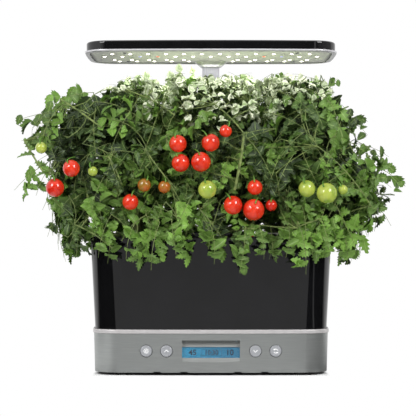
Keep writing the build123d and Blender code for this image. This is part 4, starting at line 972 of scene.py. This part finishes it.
class Foliage:
    """Where leaves may grow: inside the plants' solids, clear of the bowl, the mast and the fruit."""

    proud = 12 * MM  # how far a leaf may come out of the solids
    small_fruit = 9.6 * MM  # leaves may cover more of a smaller one
    margin = 2 * MM  # round the bowl and the mast
    deck_clearance = 28 * MM
    lamp_clearance = 22 * MM
    reaching_over = 12 * MM  # how much higher a reaching leaf may come
    rear_overhang = 5 * MM  # behind the solids' box

    def __init__(self, fruit):
        self.crown = BVHTree.FromPolygons(*triangles_of(*[f"plant_{number}" for number in PLANTS]))
        self.rest = BVHTree.FromPolygons(*triangles_of("grow_bowl", "grow_deck"))
        self.fruit = fruit
        bowl_low, bowl_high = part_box("grow_deck")
        self.bowl_x = bowl_high.x + self.margin
        self.bowl_y = bowl_high.y + self.margin
        self.over_deck = bowl_high.z + self.deck_clearance
        sleeve_low, sleeve_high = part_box("mast_bush")
        self.mast_low = sleeve_low - Vector((self.margin, self.margin, 0))
        self.mast_high = sleeve_high + Vector((self.margin, self.margin, 0))
        self.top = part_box("lamp_rim")[0].z - self.lamp_clearance
        self.reaching_top = self.top + self.reaching_over
        self.rearmost = cad_box[1][1] + self.rear_overhang
        self.middle = (bowl_low + bowl_high) / 2

    def outer(self, point, normal):
        """Whether a place on a plant's solid is on the outside of them all."""
        start = point + normal * 1.5 * MM
        return all(tree.ray_cast(start, normal, 60 * MM)[0] is None for tree in (self.crown, self.rest))

    def free(self, place, hanging=False):
        """Whether a leaf may reach this place. One that hangs beside the bowl may leave the solids."""
        x, y, z = place
        if z > (self.reaching_top if hanging else self.top) or y > self.rearmost:
            return False
        if abs(x) < self.bowl_x and abs(y) < self.bowl_y and z < self.over_deck:
            return False
        if self.mast_low.x < x < self.mast_high.x and self.mast_low.y < y < self.mast_high.y:
            return False
        if not hanging:
            left, right = outline_at(z)
            if not left < x < right:
                return False
        near, normal, _, distance = self.crown.find_nearest(place)
        if distance > self.proud and not hanging and (place - near).dot(normal) > 0:
            return False
        for centre, radius in self.fruit:
            away = place - centre
            if away.length < radius + 1 * MM:
                return False
            bare = 0.95 if radius > self.small_fruit else 0.5
            in_front = away.y < 0 and math.hypot(away.x, away.z) < bare * radius
            if in_front and y < 0:
                return False
        return True


def surface_sites(node, widest, spacing, foliage, draw):
    """Places on the outside of a plant's solid, no two nearer than the spacing there."""
    mesh = frame["nodes"][node].data
    faces = list(mesh.polygons)
    weights = [face.area for face in faces]
    tries_per_leaf = 9
    wanted = int(tries_per_leaf * sum(weights) / widest ** 2)
    found = []
    cell = 30 * MM
    grid = {}
    for face in draw.choices(faces, weights, k=wanted):
        corners = [mesh.vertices[index].co for index in face.vertices]
        u = draw.random()
        v = draw.random()
        if u + v > 1:
            u, v = 1 - u, 1 - v
        point = corners[0] + (corners[1] - corners[0]) * u + (corners[2] - corners[0]) * v
        near = spacing(point)
        key = tuple(int(math.floor(value / cell)) for value in point)
        around = [
            other
            for dx in (-1, 0, 1)
            for dy in (-1, 0, 1)
            for dz in (-1, 0, 1)
            for other in grid.get((key[0] + dx, key[1] + dy, key[2] + dz), ())
        ]
        if any((point - other).length < near for other in around):
            continue
        if not foliage.outer(point, face.normal):
            continue
        grid.setdefault(key, []).append(point)
        found.append((point, face.normal.copy()))
    return found


# Leaves that reach out of the crown: the tip's x and z in millimetres, its depth,
# the angle that it points at (0 hangs down, 90 points to its own side), and its length.
REACHING_LEAVES = (
    (-224, 203, -62, 50, 88),
    (-200, 196, -56, 30, 84),
    (-222, 258, -50, 75, 92),
    (-226, 284, -40, 80, 88),
    (-202, 311, -40, 100, 86),
    (-174, 325, -45, 118, 80),
    (-208, 232, -30, 60, 80),
    (-188, 298, -55, 70, 84),
    (-150, 124, -94, 14, 80),
    (-186, 150, -64, 30, 80),
    (-196, 176, -58, 40, 88),
    (-66, 113, -118, 10, 84),
    (-94, 121, -117, 14, 76),
    (-124, 127, -116, 16, 78),
    (-36, 127, -118, -8, 74),
    (4, 115, -118, 6, 82),
    (30, 111, -118, -8, 80),
    (58, 126, -118, 8, 60),
    (80, 124, -118, -6, 66),
    (104, 108, -118, 8, 92),
    (130, 120, -112, 10, 80),
    (152, 113, -96, 12, 92),
    (180, 146, -60, 30, 88),
    (208, 162, -50, 42, 96),
    (182, 186, -86, 35, 96),
    (224, 208, -45, 60, 96),
    (210, 224, -58, 50, 90),
    (206, 241, -50, 72, 90),
    (186, 262, -55, 60, 80),
    (182, 284, -45, 85, 84),
    (146, 337, -40, 140, 66),
    (-74, 341, -50, 165, 38),
    (-46, 340, -60, 160, 36),
    (-36, 348, -60, 175, 36),
    (-22, 349, -30, 170, 34),
    (-12, 345, -20, 160, 36),
    (84, 342, -50, 165, 38),
    (106, 340, -40, 175, 36),
    (128, 343, -30, 155, 38),
)

# A bent leaf form's tip is this share of its length away from its base.
LEAF_REACH = 0.7


def reaching_leaf(tip_x, tip_z, depth, lean, length):
    """Base, pointing direction and upper side of a leaf that reaches out to a given tip."""
    side = math.copysign(1, tip_x)
    angle = math.radians(lean)
    chord = Vector((side * math.sin(angle), -0.12, -math.cos(angle))).normalized()
    tip = Vector((tip_x, depth, tip_z)) * MM
    face = TO_FRONT + UP * 0.5 + Vector((0.35 * side, 0, 0))
    return tip - chord * length * MM * LEAF_REACH, chord, face


# Stems that show in front of the leaves: start, elbow and end as x and z, and the
# radius, in millimetres.
STEMS_IN_FRONT = (
    ((26, 206), (34, 240), (36, 268), 1.6),
    ((-70, 247), (-56, 226), (-38, 207), 0.9),
    ((-205, 260), (-196, 244), (-184, 226), 1.0),
    ((-166, 306), (-145, 294), (-120, 274), 1.0),
    ((116, 254), (150, 230), (176, 188), 0.6),
    ((-112, 242), (-104, 228), (-98, 212), 1.1),
    ((-12, 184), (0, 172), (14, 150), 0.9),
    ((-150, 168), (-128, 160), (-108, 142), 0.9),
    ((-72, 178), (-90, 168), (-98, 150), 0.8),
    ((4, 300), (24, 286), (40, 262), 0.8),
    ((-92, 316), (-60, 306), (-40, 288), 0.7),
)


# The plants stand in three columns, parted this far from the middle.
COLUMN_SPLIT = 58


def column_of(x):
    """The column, 0 to 2 from the left, of a place given in millimetres."""
    return 0 if x < -COLUMN_SPLIT else 1 if x < COLUMN_SPLIT else 2


def front_stems(number, foliage):
    """The lines of (point, radius) of a front plant's stems that lie on its leaves."""
    lines = []
    for start, elbow, end, radius in STEMS_IN_FRONT:
        if number != 1 + column_of(start[0]):
            continue
        points = quadratic(*[Vector((x, -130, z)) * MM for x, z in (start, elbow, end)], 6)
        for point in points:
            point.y = foliage.crown.find_nearest(point)[0].y - 1 * MM
        lines.append([(point, radius * MM) for point in points])
    return lines


# Rows of hanging leaves, the lowest first: how far out and how far up, and the step
# between two leaves of a row, in millimetres.
HANGING_ROWS = ((14, 12), (16, 34), (22, 52), (26, 72), (16, 92))
HANGING_STEP = 15


def hanging_places(number, foliage, draw):
    """Places all round the rim of the bowl, with the way out, that a plant hangs leaves from."""
    found = []
    column = (number - 1) % 3
    rear = number > 3
    split = COLUMN_SPLIT * MM
    half_x = foliage.bowl_x
    half_y = foliage.bowl_y
    for gap, rise in HANGING_ROWS:
        out = gap * MM
        level = foliage.over_deck - 30 * MM + rise * MM
        for step in range(-9, 10):
            x = (step + draw.uniform(-0.4, 0.4)) * HANGING_STEP * MM
            mine = (x < -split, abs(x) <= split, x > split)[column]
            if mine:
                front_y = half_y if rear else -half_y
                way = Vector((0, 1 if rear else -1, 0))
                found.append((Vector((x, front_y, level)) + way * out, way))
        if column == 1:
            continue
        side = column - 1
        for step in range(-5, 6):
            y = (step + draw.uniform(-0.4, 0.4)) * HANGING_STEP * MM
            if (y > -12 * MM) == rear:
                way = Vector((side, 0, 0))
                found.append((Vector((side * half_x, y, level)) + way * (out + 6 * MM), way))
    draw.shuffle(found)
    return [(point + UP * draw.uniform(-9, 9) * MM, way) for point, way in found]


def quadratic(start, middle, end, steps):
    """Points along a simple curve that leaves start towards middle and arrives at end."""
    points = []
    for step in range(steps + 1):
        t = step / steps
        points.append(start * (1 - t) ** 2 + middle * 2 * t * (1 - t) + end * t * t)
    return points


def branch_lines(number, sites, draw):
    """The trunk and branches of a plant: lines of (point, radius) from its pod to its outside."""
    low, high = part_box(f"grow_sponge_{number}")
    inset = 30 * MM  # of a branch's end, below the leaves
    apart = 62 * MM
    trunk_radius, trunk_taper = 3.4, 2.0
    branch_radius, branch_taper = 2.1, 1.3
    foot = Vector(((low.x + high.x) / 2, (low.y + high.y) / 2, high.z - 6 * MM))
    crown_low, crown_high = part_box(f"plant_{number}")
    middle = (crown_low + crown_high) / 2
    top = Vector((foot.x * 0.9 + middle.x * 0.1, foot.y * 0.8 + middle.y * 0.2, crown_high.z - 45 * MM))
    bow = (foot + top) / 2 + Vector((draw.uniform(-9, 9), draw.uniform(-7, 7), 0)) * MM
    trunk = quadratic(foot, bow, top, 9)
    lines = [[(point, (trunk_radius - trunk_taper * step / 9) * MM) for step, point in enumerate(trunk)]]
    ends = []
    for point, normal in sites:
        end = point - normal * inset
        if all((end - other).length > apart for other in ends):
            ends.append(end)
    for end in ends:
        rise = max(0.12, min(0.9, (end.z - 25 * MM - foot.z) / (top.z - foot.z)))
        start = trunk[int(rise * 8)]
        elbow = (start + end) / 2 + UP * 0.06 * (end - start).length
        points = quadratic(start, elbow, end, 7)
        lines.append(
            [(point, (branch_radius - branch_taper * step / 7) * MM) for step, point in enumerate(points)]
        )
    return lines


def nearest_stem(place, lines):
    """The point of the branches nearest to a place."""
    return min((point for line in lines for point, _ in line), key=lambda point: (point - place).length_squared)


# The young leaves' lower limit rises from here to both sides, by this much at this distance.
YOUNG_MIDDLE = 14 * MM
YOUNG_RISE = 30 * MM
YOUNG_HALF_WIDTH = 115 * MM
# Below this level leaves get lighter, over this depth.
LIGHT_LEVEL = 235 * MM
LIGHT_DEPTH = 75 * MM
# Beyond this distance from the middle the crown opens, over this width.
OPEN_FROM = 130 * MM
OPEN_WIDTH = 80 * MM
# The outer and the inner layer: least and greatest depth in millimetres, and the share kept.
LAYERS = ((2, 15, 1.0), (26, 48, 0.8))
STALK_FROM = 4 * MM  # a base nearer to a stem than this has no stalk


class GARDEN_OT_grow_plants(bpy.types.Operator):
    """Grow the leaves and stems of the six plants in the space of their solids"""

    bl_idname = "garden.grow_plants"
    bl_label = "Grow plants"

    def execute(self, context):
        plants = settings().plants
        draw = random.Random(plants.seed)
        leaf_material = leaf_skin()
        stem_material = plant_stem()
        forms = leaf_templates(draw, leaf_material, stem_material)
        foliage = Foliage(fruit_places())
        reaching = {number: [] for number in PLANTS}
        for spec in REACHING_LEAVES:
            reaching[1 + column_of(spec[0])].append(spec)
        for number in PLANTS:
            leaves, lines, stalks = self.grow(number, plants, foliage, forms, reaching[number], draw)
            if not leaves:
                raise RuntimeError(f"plant {number} has no room for a leaf")
            piece = join(leaves, f"plant_{number}_leaves")
            settle(piece, "bowl", "leaves", f"plant_{number}")
            stems = join(
                [tube("branches", lines, stem_material, 1), tube("stalks", stalks, stem_material)],
                f"plant_{number}_stems",
            )
            settle(stems, "bowl", "leaves")
        for group in forms.values():
            for form in group:
                bpy.data.objects.remove(form)
        return {"FINISHED"}

    def grow(self, number, plants, foliage, forms, reaching, draw):
        """The leaf copies, branch lines and leaf stalks of one plant."""

        def young(point):
            aside = (point.x - YOUNG_MIDDLE) / YOUNG_HALF_WIDTH
            return point.z > plants.young_level + YOUNG_RISE * aside * aside

        def spacing(point):
            return plants.spacing * (0.38 if young(point) else 0.8)

        sites = surface_sites(f"plant_{number}", plants.spacing, spacing, foliage, draw)
        lines = branch_lines(number, sites, draw) + front_stems(number, foliage)
        leaves = []
        stalks = []

        def place(form, base, chord, face, length, tone_and_painted_shade, hanging=False, youth_and_painted_glare=0.0):
            matrix = leaf_matrix(base, chord, face, length)
            checked = list(form.data.vertices)[::4]
            if not all(foliage.free(matrix @ vertex.co, hanging) for vertex in checked):
                return False
            leaf = copy_at(form, matrix)
            for name, value in (("leaf_tone_and_painted_shade", tone_and_painted_shade), ("leaf_youth_and_painted_glare", youth_and_painted_glare)):
                attribute = leaf.data.attributes.new(name, "FLOAT", "POINT")
                attribute.data.foreach_set("value", [value] * len(leaf.data.vertices))
            leaves.append(leaf)
            stem = nearest_stem(base, lines)
            if (stem - base).length > STALK_FROM:
                inwards = Vector((foliage.middle.x - base.x, foliage.middle.y - base.y, 0)).normalized()
                elbow = (stem + base) / 2 + inwards * 0.3 * (stem - base).length
                points = quadratic(stem, elbow, base, 3)
                if all(foliage.free(point) for point in points[1:-1]):
                    stalks.append([(point, 0.5 * MM) for point in points])
            return True

        for spec in reaching:
            base, chord, face = reaching_leaf(*spec)
            form = draw.choice(forms["drooping" if spec[3] < 60 else "grown" if spec[3] < 150 else "young"])
            youth_and_painted_glare = draw.uniform(0.5, 0.9) if spec[3] >= 150 else 0.0
            place(form, base, chord, face, spec[4] * MM, draw.uniform(0.2, 0.9), hanging=True, youth_and_painted_glare=youth_and_painted_glare)
        for point, outwards in hanging_places(number, foliage, draw):
            for _ in range(3):
                along = UP.cross(outwards)
                chord = -UP + outwards * draw.uniform(0.0, 0.25) + along * draw.uniform(-0.5, 0.5)
                wander = Vector([draw.uniform(-0.4, 0.4) for _ in range(3)])
                longest = 0.7 if point.z < foliage.over_deck else 1.0
                length = plants.leaf_length * draw.uniform(0.5, longest)
                form = draw.choice(forms["drooping"] + forms["grown"][:2])
                face = outwards + UP * 0.35 + wander
                if place(form, point, chord, face, length, draw.random(), hanging=True):
                    break
        for layer, (inset_low, inset_high, keep) in enumerate(LAYERS):
            for point, normal in sites:
                open_side = 1 - plants.openness * max(0, abs(point.x) - OPEN_FROM) / OPEN_WIDTH
                if draw.random() > keep * open_side:
                    continue
                at_top = young(point)
                lift = 0.4 * max(0.0, min(1.0, (LIGHT_LEVEL - point.z) / LIGHT_DEPTH))
                for _ in range(4):
                    inset = draw.uniform(inset_low, inset_high) * MM
                    around = draw.uniform(0, math.tau)
                    tangent = normal.orthogonal().normalized()
                    tangent = tangent * math.cos(around) + normal.cross(tangent) * math.sin(around)
                    down = -0.25 if at_top else -1.1
                    chord = tangent + UP * down * draw.uniform(0.4, 1.0) + normal * draw.uniform(0.0, 0.7)
                    wander = Vector([draw.uniform(-0.45, 0.45) for _ in range(3)])
                    face = normal + UP * 0.7 + wander
                    group = forms["young"] if at_top else forms["drooping" if draw.random() < 0.3 else "grown"]
                    size = plants.young_length if at_top else plants.leaf_length
                    length = size * draw.uniform(0.7, 1.1)
                    base = point - normal * inset - chord.normalized() * 0.45 * length
                    youth_and_painted_glare = 0.0
                    # The inner layer's leaves get a dark tone: painted shade deep in the crown.
                    if layer > 0:
                        tone_and_painted_shade = draw.uniform(0.0, 0.12)
                    elif at_top:
                        tone_and_painted_shade = draw.uniform(0.2, 1.0)
                        youth_and_painted_glare = draw.uniform(0.4, 1.0) if draw.random() < 0.9 else 0.0
                    else:
                        tone_and_painted_shade = min(1.0, 0.8 * draw.random() ** 1.5 + lift)
                    if chord.length > 0.1 and place(draw.choice(group), base, chord, face, length, tone_and_painted_shade, youth_and_painted_glare=youth_and_painted_glare):
                        break
        return leaves, lines, stalks


# ----------------------------------------------------------------------- fruit
def fruit_places(*ripeness):
    """Centre and radius of each tomato, all of them or those of some ripeness."""
    places = []
    for name in ripeness or ("red", "orange", "green"):
        for centre, half in loose_parts(f"tomatoes_{name}"):
            places.append((centre, half.x))
    return places


def make_tomato(skin, green):
    """A tomato of radius 1 with its dimple and five-pointed calyx, at the origin."""
    fruit = added(bpy.ops.mesh.primitive_uv_sphere_add, segments=28, ring_count=18, radius=1, location=(0, 0, 0))
    bpy.ops.object.mode_set(mode="EDIT")
    for reach, depth in ((0.42, 0.05), (0.26, 0.07), (0.1, 0.06)):
        pick(lambda place: place.z > 0 and math.hypot(place.x, place.y) < reach)
        bpy.ops.transform.translate(value=(0, 0, -depth))
    bpy.ops.object.mode_set(mode="OBJECT")
    bpy.ops.object.shade_smooth()
    fruit.data.materials.append(skin)
    pieces = [fruit]
    for sepal in range(5):
        leaf = make_leaflet("narrow", 0.3, 62)
        leaf.data.materials.append(green)
        matrix = (
            Matrix.Translation((0, 0, 0.99))
            @ Matrix.Rotation(math.tau * sepal / 5, 4, "Z")
            @ Matrix.Rotation(math.radians(-80), 4, "X")
            @ Matrix.Scale(0.95, 4)
        )
        leaf.data.transform(matrix)
        pieces.append(leaf)
    return join(pieces, "tomato")


class GARDEN_OT_ripen_fruit(bpy.types.Operator):
    """Hang the tomatoes, red, orange and green, each with its calyx and stalk"""

    bl_idname = "garden.ripen_fruit"
    bl_label = "Ripen fruit"

    def execute(self, context):
        draw = random.Random(settings().plants.seed + 1)
        green = grained("Tomato calyx", "#4f7a2c", "#6d9a3e", 3, (0.5, 0.65), 0.2, ior=1.42)
        skins = {
            "red": tomato_skin("Ripe tomato skin", "#d2341a", "#b8200e"),
            "orange": tomato_skin("Turning tomato skin", "#a4551a", "#7d6a24"),
            "green": tomato_skin("Unripe tomato skin", "#a3b04a", "#7f9a3a"),
        }
        for ripeness, skin in skins.items():
            form = make_tomato(skin, green)
            pieces = []
            stalks = []
            for centre, radius in fruit_places(ripeness):
                lean = Vector((draw.uniform(-0.6, 0.6), draw.uniform(-1.1, -0.2), 1)).normalized()
                turn = UP.rotation_difference(lean).to_matrix().to_4x4()
                spin = Matrix.Rotation(draw.uniform(0, math.tau), 4, "Z")
                size = Matrix.Scale(radius * 0.985, 4)
                pieces.append(copy_at(form, Matrix.Translation(centre) @ turn @ spin @ size))
                start = centre + lean * radius * 0.84
                end = start + Vector((draw.uniform(-8, 8), 30, 8)) * MM
                elbow = start + lean * 7 * MM
                points = quadratic(start, elbow, end, 6)
                stalks.append([(point, 0.7 * MM) for point in points])
            bpy.data.objects.remove(form)
            pieces.append(tube("fruit_stalks", stalks, green, 1))
            piece = join(pieces, f"fruit_{ripeness}")
            settle(piece, "bowl", f"fruit_{ripeness}", f"tomatoes_{ripeness}")
        return {"FINISHED"}


# ---------------------------------------------------------------------- studio
def grey_stops(*stops):
    """Stops of a ramp that runs from -1 to 1, each given as its place there and its brightness."""
    return [((place + 1) / 2, (level, level, level, 1)) for place, level in stops]


def studio_floor():
    """Pale floor: it keeps the shadow close to the object and is white everywhere else."""
    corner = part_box("bottom_cover")[1]
    material, tree, place = start_material("White studio sweep")
    size = add_node(tree, "ShaderNodeVectorMath", {0: place}, operation="ABSOLUTE")
    beyond = add_node(tree, "ShaderNodeVectorMath", {0: size, 1: (corner.x, corner.y, 1.0)}, operation="SUBTRACT")
    outside = add_node(tree, "ShaderNodeVectorMath", {0: beyond, 1: (0, 0, 0)}, operation="MAXIMUM")
    distance = add_node(tree, "ShaderNodeVectorMath", {0: outside}, operation="LENGTH").outputs["Value"]
    shadow = {"From Min": 0.0, "From Max": 4 * MM, "Value": distance}
    fade = add_node(tree, "ShaderNodeMapRange", shadow, interpolation_type="SMOOTHSTEP")
    rays = add_node(tree, "ShaderNodeLightPath").outputs
    seen = add_node(tree, "ShaderNodeMath", {0: rays["Is Camera Ray"], 1: rays["Is Glossy Ray"]}, operation="MAXIMUM")
    seen_all = add_node(tree, "ShaderNodeMath", {0: seen, 1: rays["Is Transmission Ray"]}, operation="MAXIMUM")
    share = add_node(tree, "ShaderNodeMath", {0: seen_all, 1: fade}, operation="MULTIPLY")
    paper = add_node(tree, "ShaderNodeBsdfDiffuse", {"Color": colour("#f2f2f2")})
    # Mirrored, the floor is a white sweep that narrows towards the object, with a strip
    # light at the right.
    axes = add_node(tree, "ShaderNodeSeparateXYZ", {"Vector": place}).outputs
    away = add_node(tree, "ShaderNodeMath", {0: 400 * MM, 1: axes["Y"]}, operation="SUBTRACT")
    slant = add_node(tree, "ShaderNodeMath", {0: axes["X"], 1: away}, operation="DIVIDE")
    across = add_node(tree, "ShaderNodeMapRange", {"From Min": -1.0, "From Max": 1.0, "Value": slant})
    sweep = add_node(tree, "ShaderNodeValToRGB", {"Fac": across})
    middle = ((-0.235, 0.02), (-0.225, 0.53), (0.225, 0.53), (0.235, 0.02))
    strip = ((0.47, 0.02), (0.49, 0.7), (0.53, 0.7), (0.55, 0.02))
    set_stops(sweep, *grey_stops(*middle, *strip))
    near = add_node(tree, "ShaderNodeMapRange", {"From Min": 0.28, "From Max": 0.18, "Value": distance})
    left = add_node(tree, "ShaderNodeMapRange", {"From Min": -0.1, "From Max": -0.2, "Value": axes["X"]})
    near_left = add_node(tree, "ShaderNodeMath", {0: near, 1: left}, operation="MULTIPLY")
    behind = add_node(tree, "ShaderNodeMapRange", {"From Min": 0.0, "From Max": 0.2, "Value": axes["Y"]})
    white = add_node(tree, "ShaderNodeMath", {0: near_left, 1: behind}, operation="MAXIMUM")
    mirrored = add_node(tree, "ShaderNodeMath", {0: sweep, 1: white}, operation="MAXIMUM")
    strength = add_node(tree, "ShaderNodeMix", {0: rays["Is Glossy Ray"], 2: 1.0, 3: mirrored}, data_type="FLOAT")
    glow = add_node(tree, "ShaderNodeEmission", {"Color": (1, 1, 1, 1), "Strength": strength})
    mix = add_node(tree, "ShaderNodeMixShader", {0: share, 1: paper, 2: glow})
    add_node(tree, "ShaderNodeOutputMaterial", {"Surface": mix})
    return material


def studio_world(sky):
    """Even light. Reflections see white behind, and in front a low white card, a strip and dark flags."""
    world = bpy.data.worlds.new("Studio")
    bpy.context.scene.world = world
    world.use_nodes = True
    tree = world.node_tree
    tree.nodes.clear()
    place = add_node(tree, "ShaderNodeTexCoord")
    axes = add_node(tree, "ShaderNodeSeparateXYZ", {"Vector": place.outputs["Generated"]}).outputs
    across = add_node(tree, "ShaderNodeMapRange", {"From Min": -1.0, "From Max": 1.0, "Value": axes["X"]})
    card = add_node(tree, "ShaderNodeValToRGB", {"Fac": across})
    set_stops(card, *grey_stops((-1.0, 0.0), (-0.19, 0.0), (-0.16, 0.45), (0.16, 0.45), (0.19, 0.0)))
    strips = add_node(tree, "ShaderNodeValToRGB", {"Fac": across})
    left = ((-1.0, 1.0), (-0.75, 1.0), (-0.4, 0.05))
    right = ((0.215, 0.05), (0.23, 1.0), (0.31, 1.0), (0.34, 0.05), (0.97, 0.4))
    set_stops(strips, *grey_stops(*left, *right))
    under_card_top = add_node(tree, "ShaderNodeMapRange", {"From Min": 0.12, "From Max": 0.08, "Value": axes["Z"]})
    low_card = add_node(tree, "ShaderNodeMath", {0: card, 1: under_card_top}, operation="MULTIPLY")
    overhead = add_node(
        tree, "ShaderNodeMapRange", {"From Min": 0.55, "From Max": 0.8, "To Max": 0.75, "Value": axes["Z"]}
    )
    behind = add_node(tree, "ShaderNodeMapRange", {"From Min": 0.15, "From Max": 0.3, "Value": axes["Y"]})
    cards = low_card
    for other in (strips, overhead, behind):
        cards = add_node(tree, "ShaderNodeMath", {0: cards, 1: other}, operation="MAXIMUM")
    rays = add_node(tree, "ShaderNodeLightPath").outputs
    even = add_node(tree, "ShaderNodeBackground", {"Color": (1, 1, 1, 1), "Strength": sky})
    mirrored = add_node(tree, "ShaderNodeBackground", {"Color": cards, "Strength": 1.0})
    white = add_node(tree, "ShaderNodeBackground", {"Color": (1, 1, 1, 1), "Strength": 1.0})
    lit = add_node(tree, "ShaderNodeMixShader", {0: rays["Is Glossy Ray"], 1: even, 2: mirrored})
    ends = {0: rays["Is Camera Ray"], 1: rays["Is Transmission Ray"]}
    straight = add_node(tree, "ShaderNodeMath", ends, operation="MAXIMUM")
    final = add_node(tree, "ShaderNodeMixShader", {0: straight, 1: lit, 2: white})
    add_node(tree, "ShaderNodeOutputWorld", {"Surface": final})


class GARDEN_OT_set_stage(bpy.types.Operator):
    """Set the floor, the studio light and the camera"""

    bl_idname = "garden.set_stage"
    bl_label = "Set stage"

    def execute(self, context):
        studio = settings().studio
        floor = added(bpy.ops.mesh.primitive_plane_add, size=8, location=(0, 0, 0))
        floor.name = "studio_floor"
        floor.data.materials.append(studio_floor())
        studio_world(studio.sky)
        for side, name in ((-1, "softbox_left"), (1, "softbox_right")):
            aim = Vector((0, 0, 0.22))
            place = Vector((side * 0.95, -1.15, 1.0))
            softbox = added(bpy.ops.object.light_add, type="AREA", location=place)
            softbox.name = name
            softbox.data.shape = "RECTANGLE"
            softbox.data.size = 0.55
            softbox.data.size_y = 0.75
            softbox.data.energy = studio.softbox
            softbox.rotation_euler = (aim - place).to_track_quat("-Z", "Y").to_euler()
        camera = added(
            bpy.ops.object.camera_add,
            location=(studio.camera_side, -studio.camera_distance, studio.camera_height),
            rotation=(math.radians(90) + studio.camera_tilt, 0, 0),
        )
        camera.name = "camera_front"
        camera.data.lens = studio.lens
        camera.data.sensor_width = 36
        context.scene.camera = camera
        context.scene.view_settings.view_transform = "Standard"
        return {"FINISHED"}


class GARDEN_PT_steps(bpy.types.Panel):
    """The garden's steps, in order"""

    bl_idname = "GARDEN_PT_steps"
    bl_label = "Hydroponic garden"
    bl_space_type = "VIEW_3D"
    bl_region_type = "UI"
    bl_category = "Garden"

    def draw(self, context):
        for step in STEPS:
            self.layout.operator(step.bl_idname)
        for name in ("water_days", "clock", "food_days"):
            self.layout.prop(settings().display, name)
        for name in ("seed", "leaf_length", "spacing"):
            self.layout.prop(settings().plants, name)


STEPS = (
    GARDEN_OT_finish_base,
    GARDEN_OT_finish_bowl,
    GARDEN_OT_finish_lamp,
    GARDEN_OT_light_diodes,
    GARDEN_OT_screw_drives,
    GARDEN_OT_display_figures,
    GARDEN_OT_button_icons,
    GARDEN_OT_grow_plants,
    GARDEN_OT_ripen_fruit,
    GARDEN_OT_set_stage,
)
GROUPS = (GardenDisplay, GardenLamp, GardenPlants, GardenStudio, HydroponicGarden)


def register():
    """Registers the settings, the operators and the panel."""
    for kind in (*GROUPS, *STEPS, GARDEN_PT_steps):
        bpy.utils.register_class(kind)
    bpy.types.Scene.hydroponic_garden = bpy.props.PointerProperty(type=HydroponicGarden)


def unregister():
    """Takes the settings, the operators and the panel away again."""
    del bpy.types.Scene.hydroponic_garden
    for kind in reversed((*GROUPS, *STEPS, GARDEN_PT_steps)):
        bpy.utils.unregister_class(kind)


def main():
    """Dresses the garden step by step."""
    register()
    bpy.ops.garden.finish_base()
    bpy.ops.garden.finish_bowl()
    bpy.ops.garden.finish_lamp()
    bpy.ops.garden.light_diodes()
    bpy.ops.garden.screw_drives()
    bpy.ops.garden.display_figures()
    bpy.ops.garden.button_icons()
    bpy.ops.garden.grow_plants()
    bpy.ops.garden.ripen_fruit()
    bpy.ops.garden.set_stage()


if __name__ == "__main__":
    main()
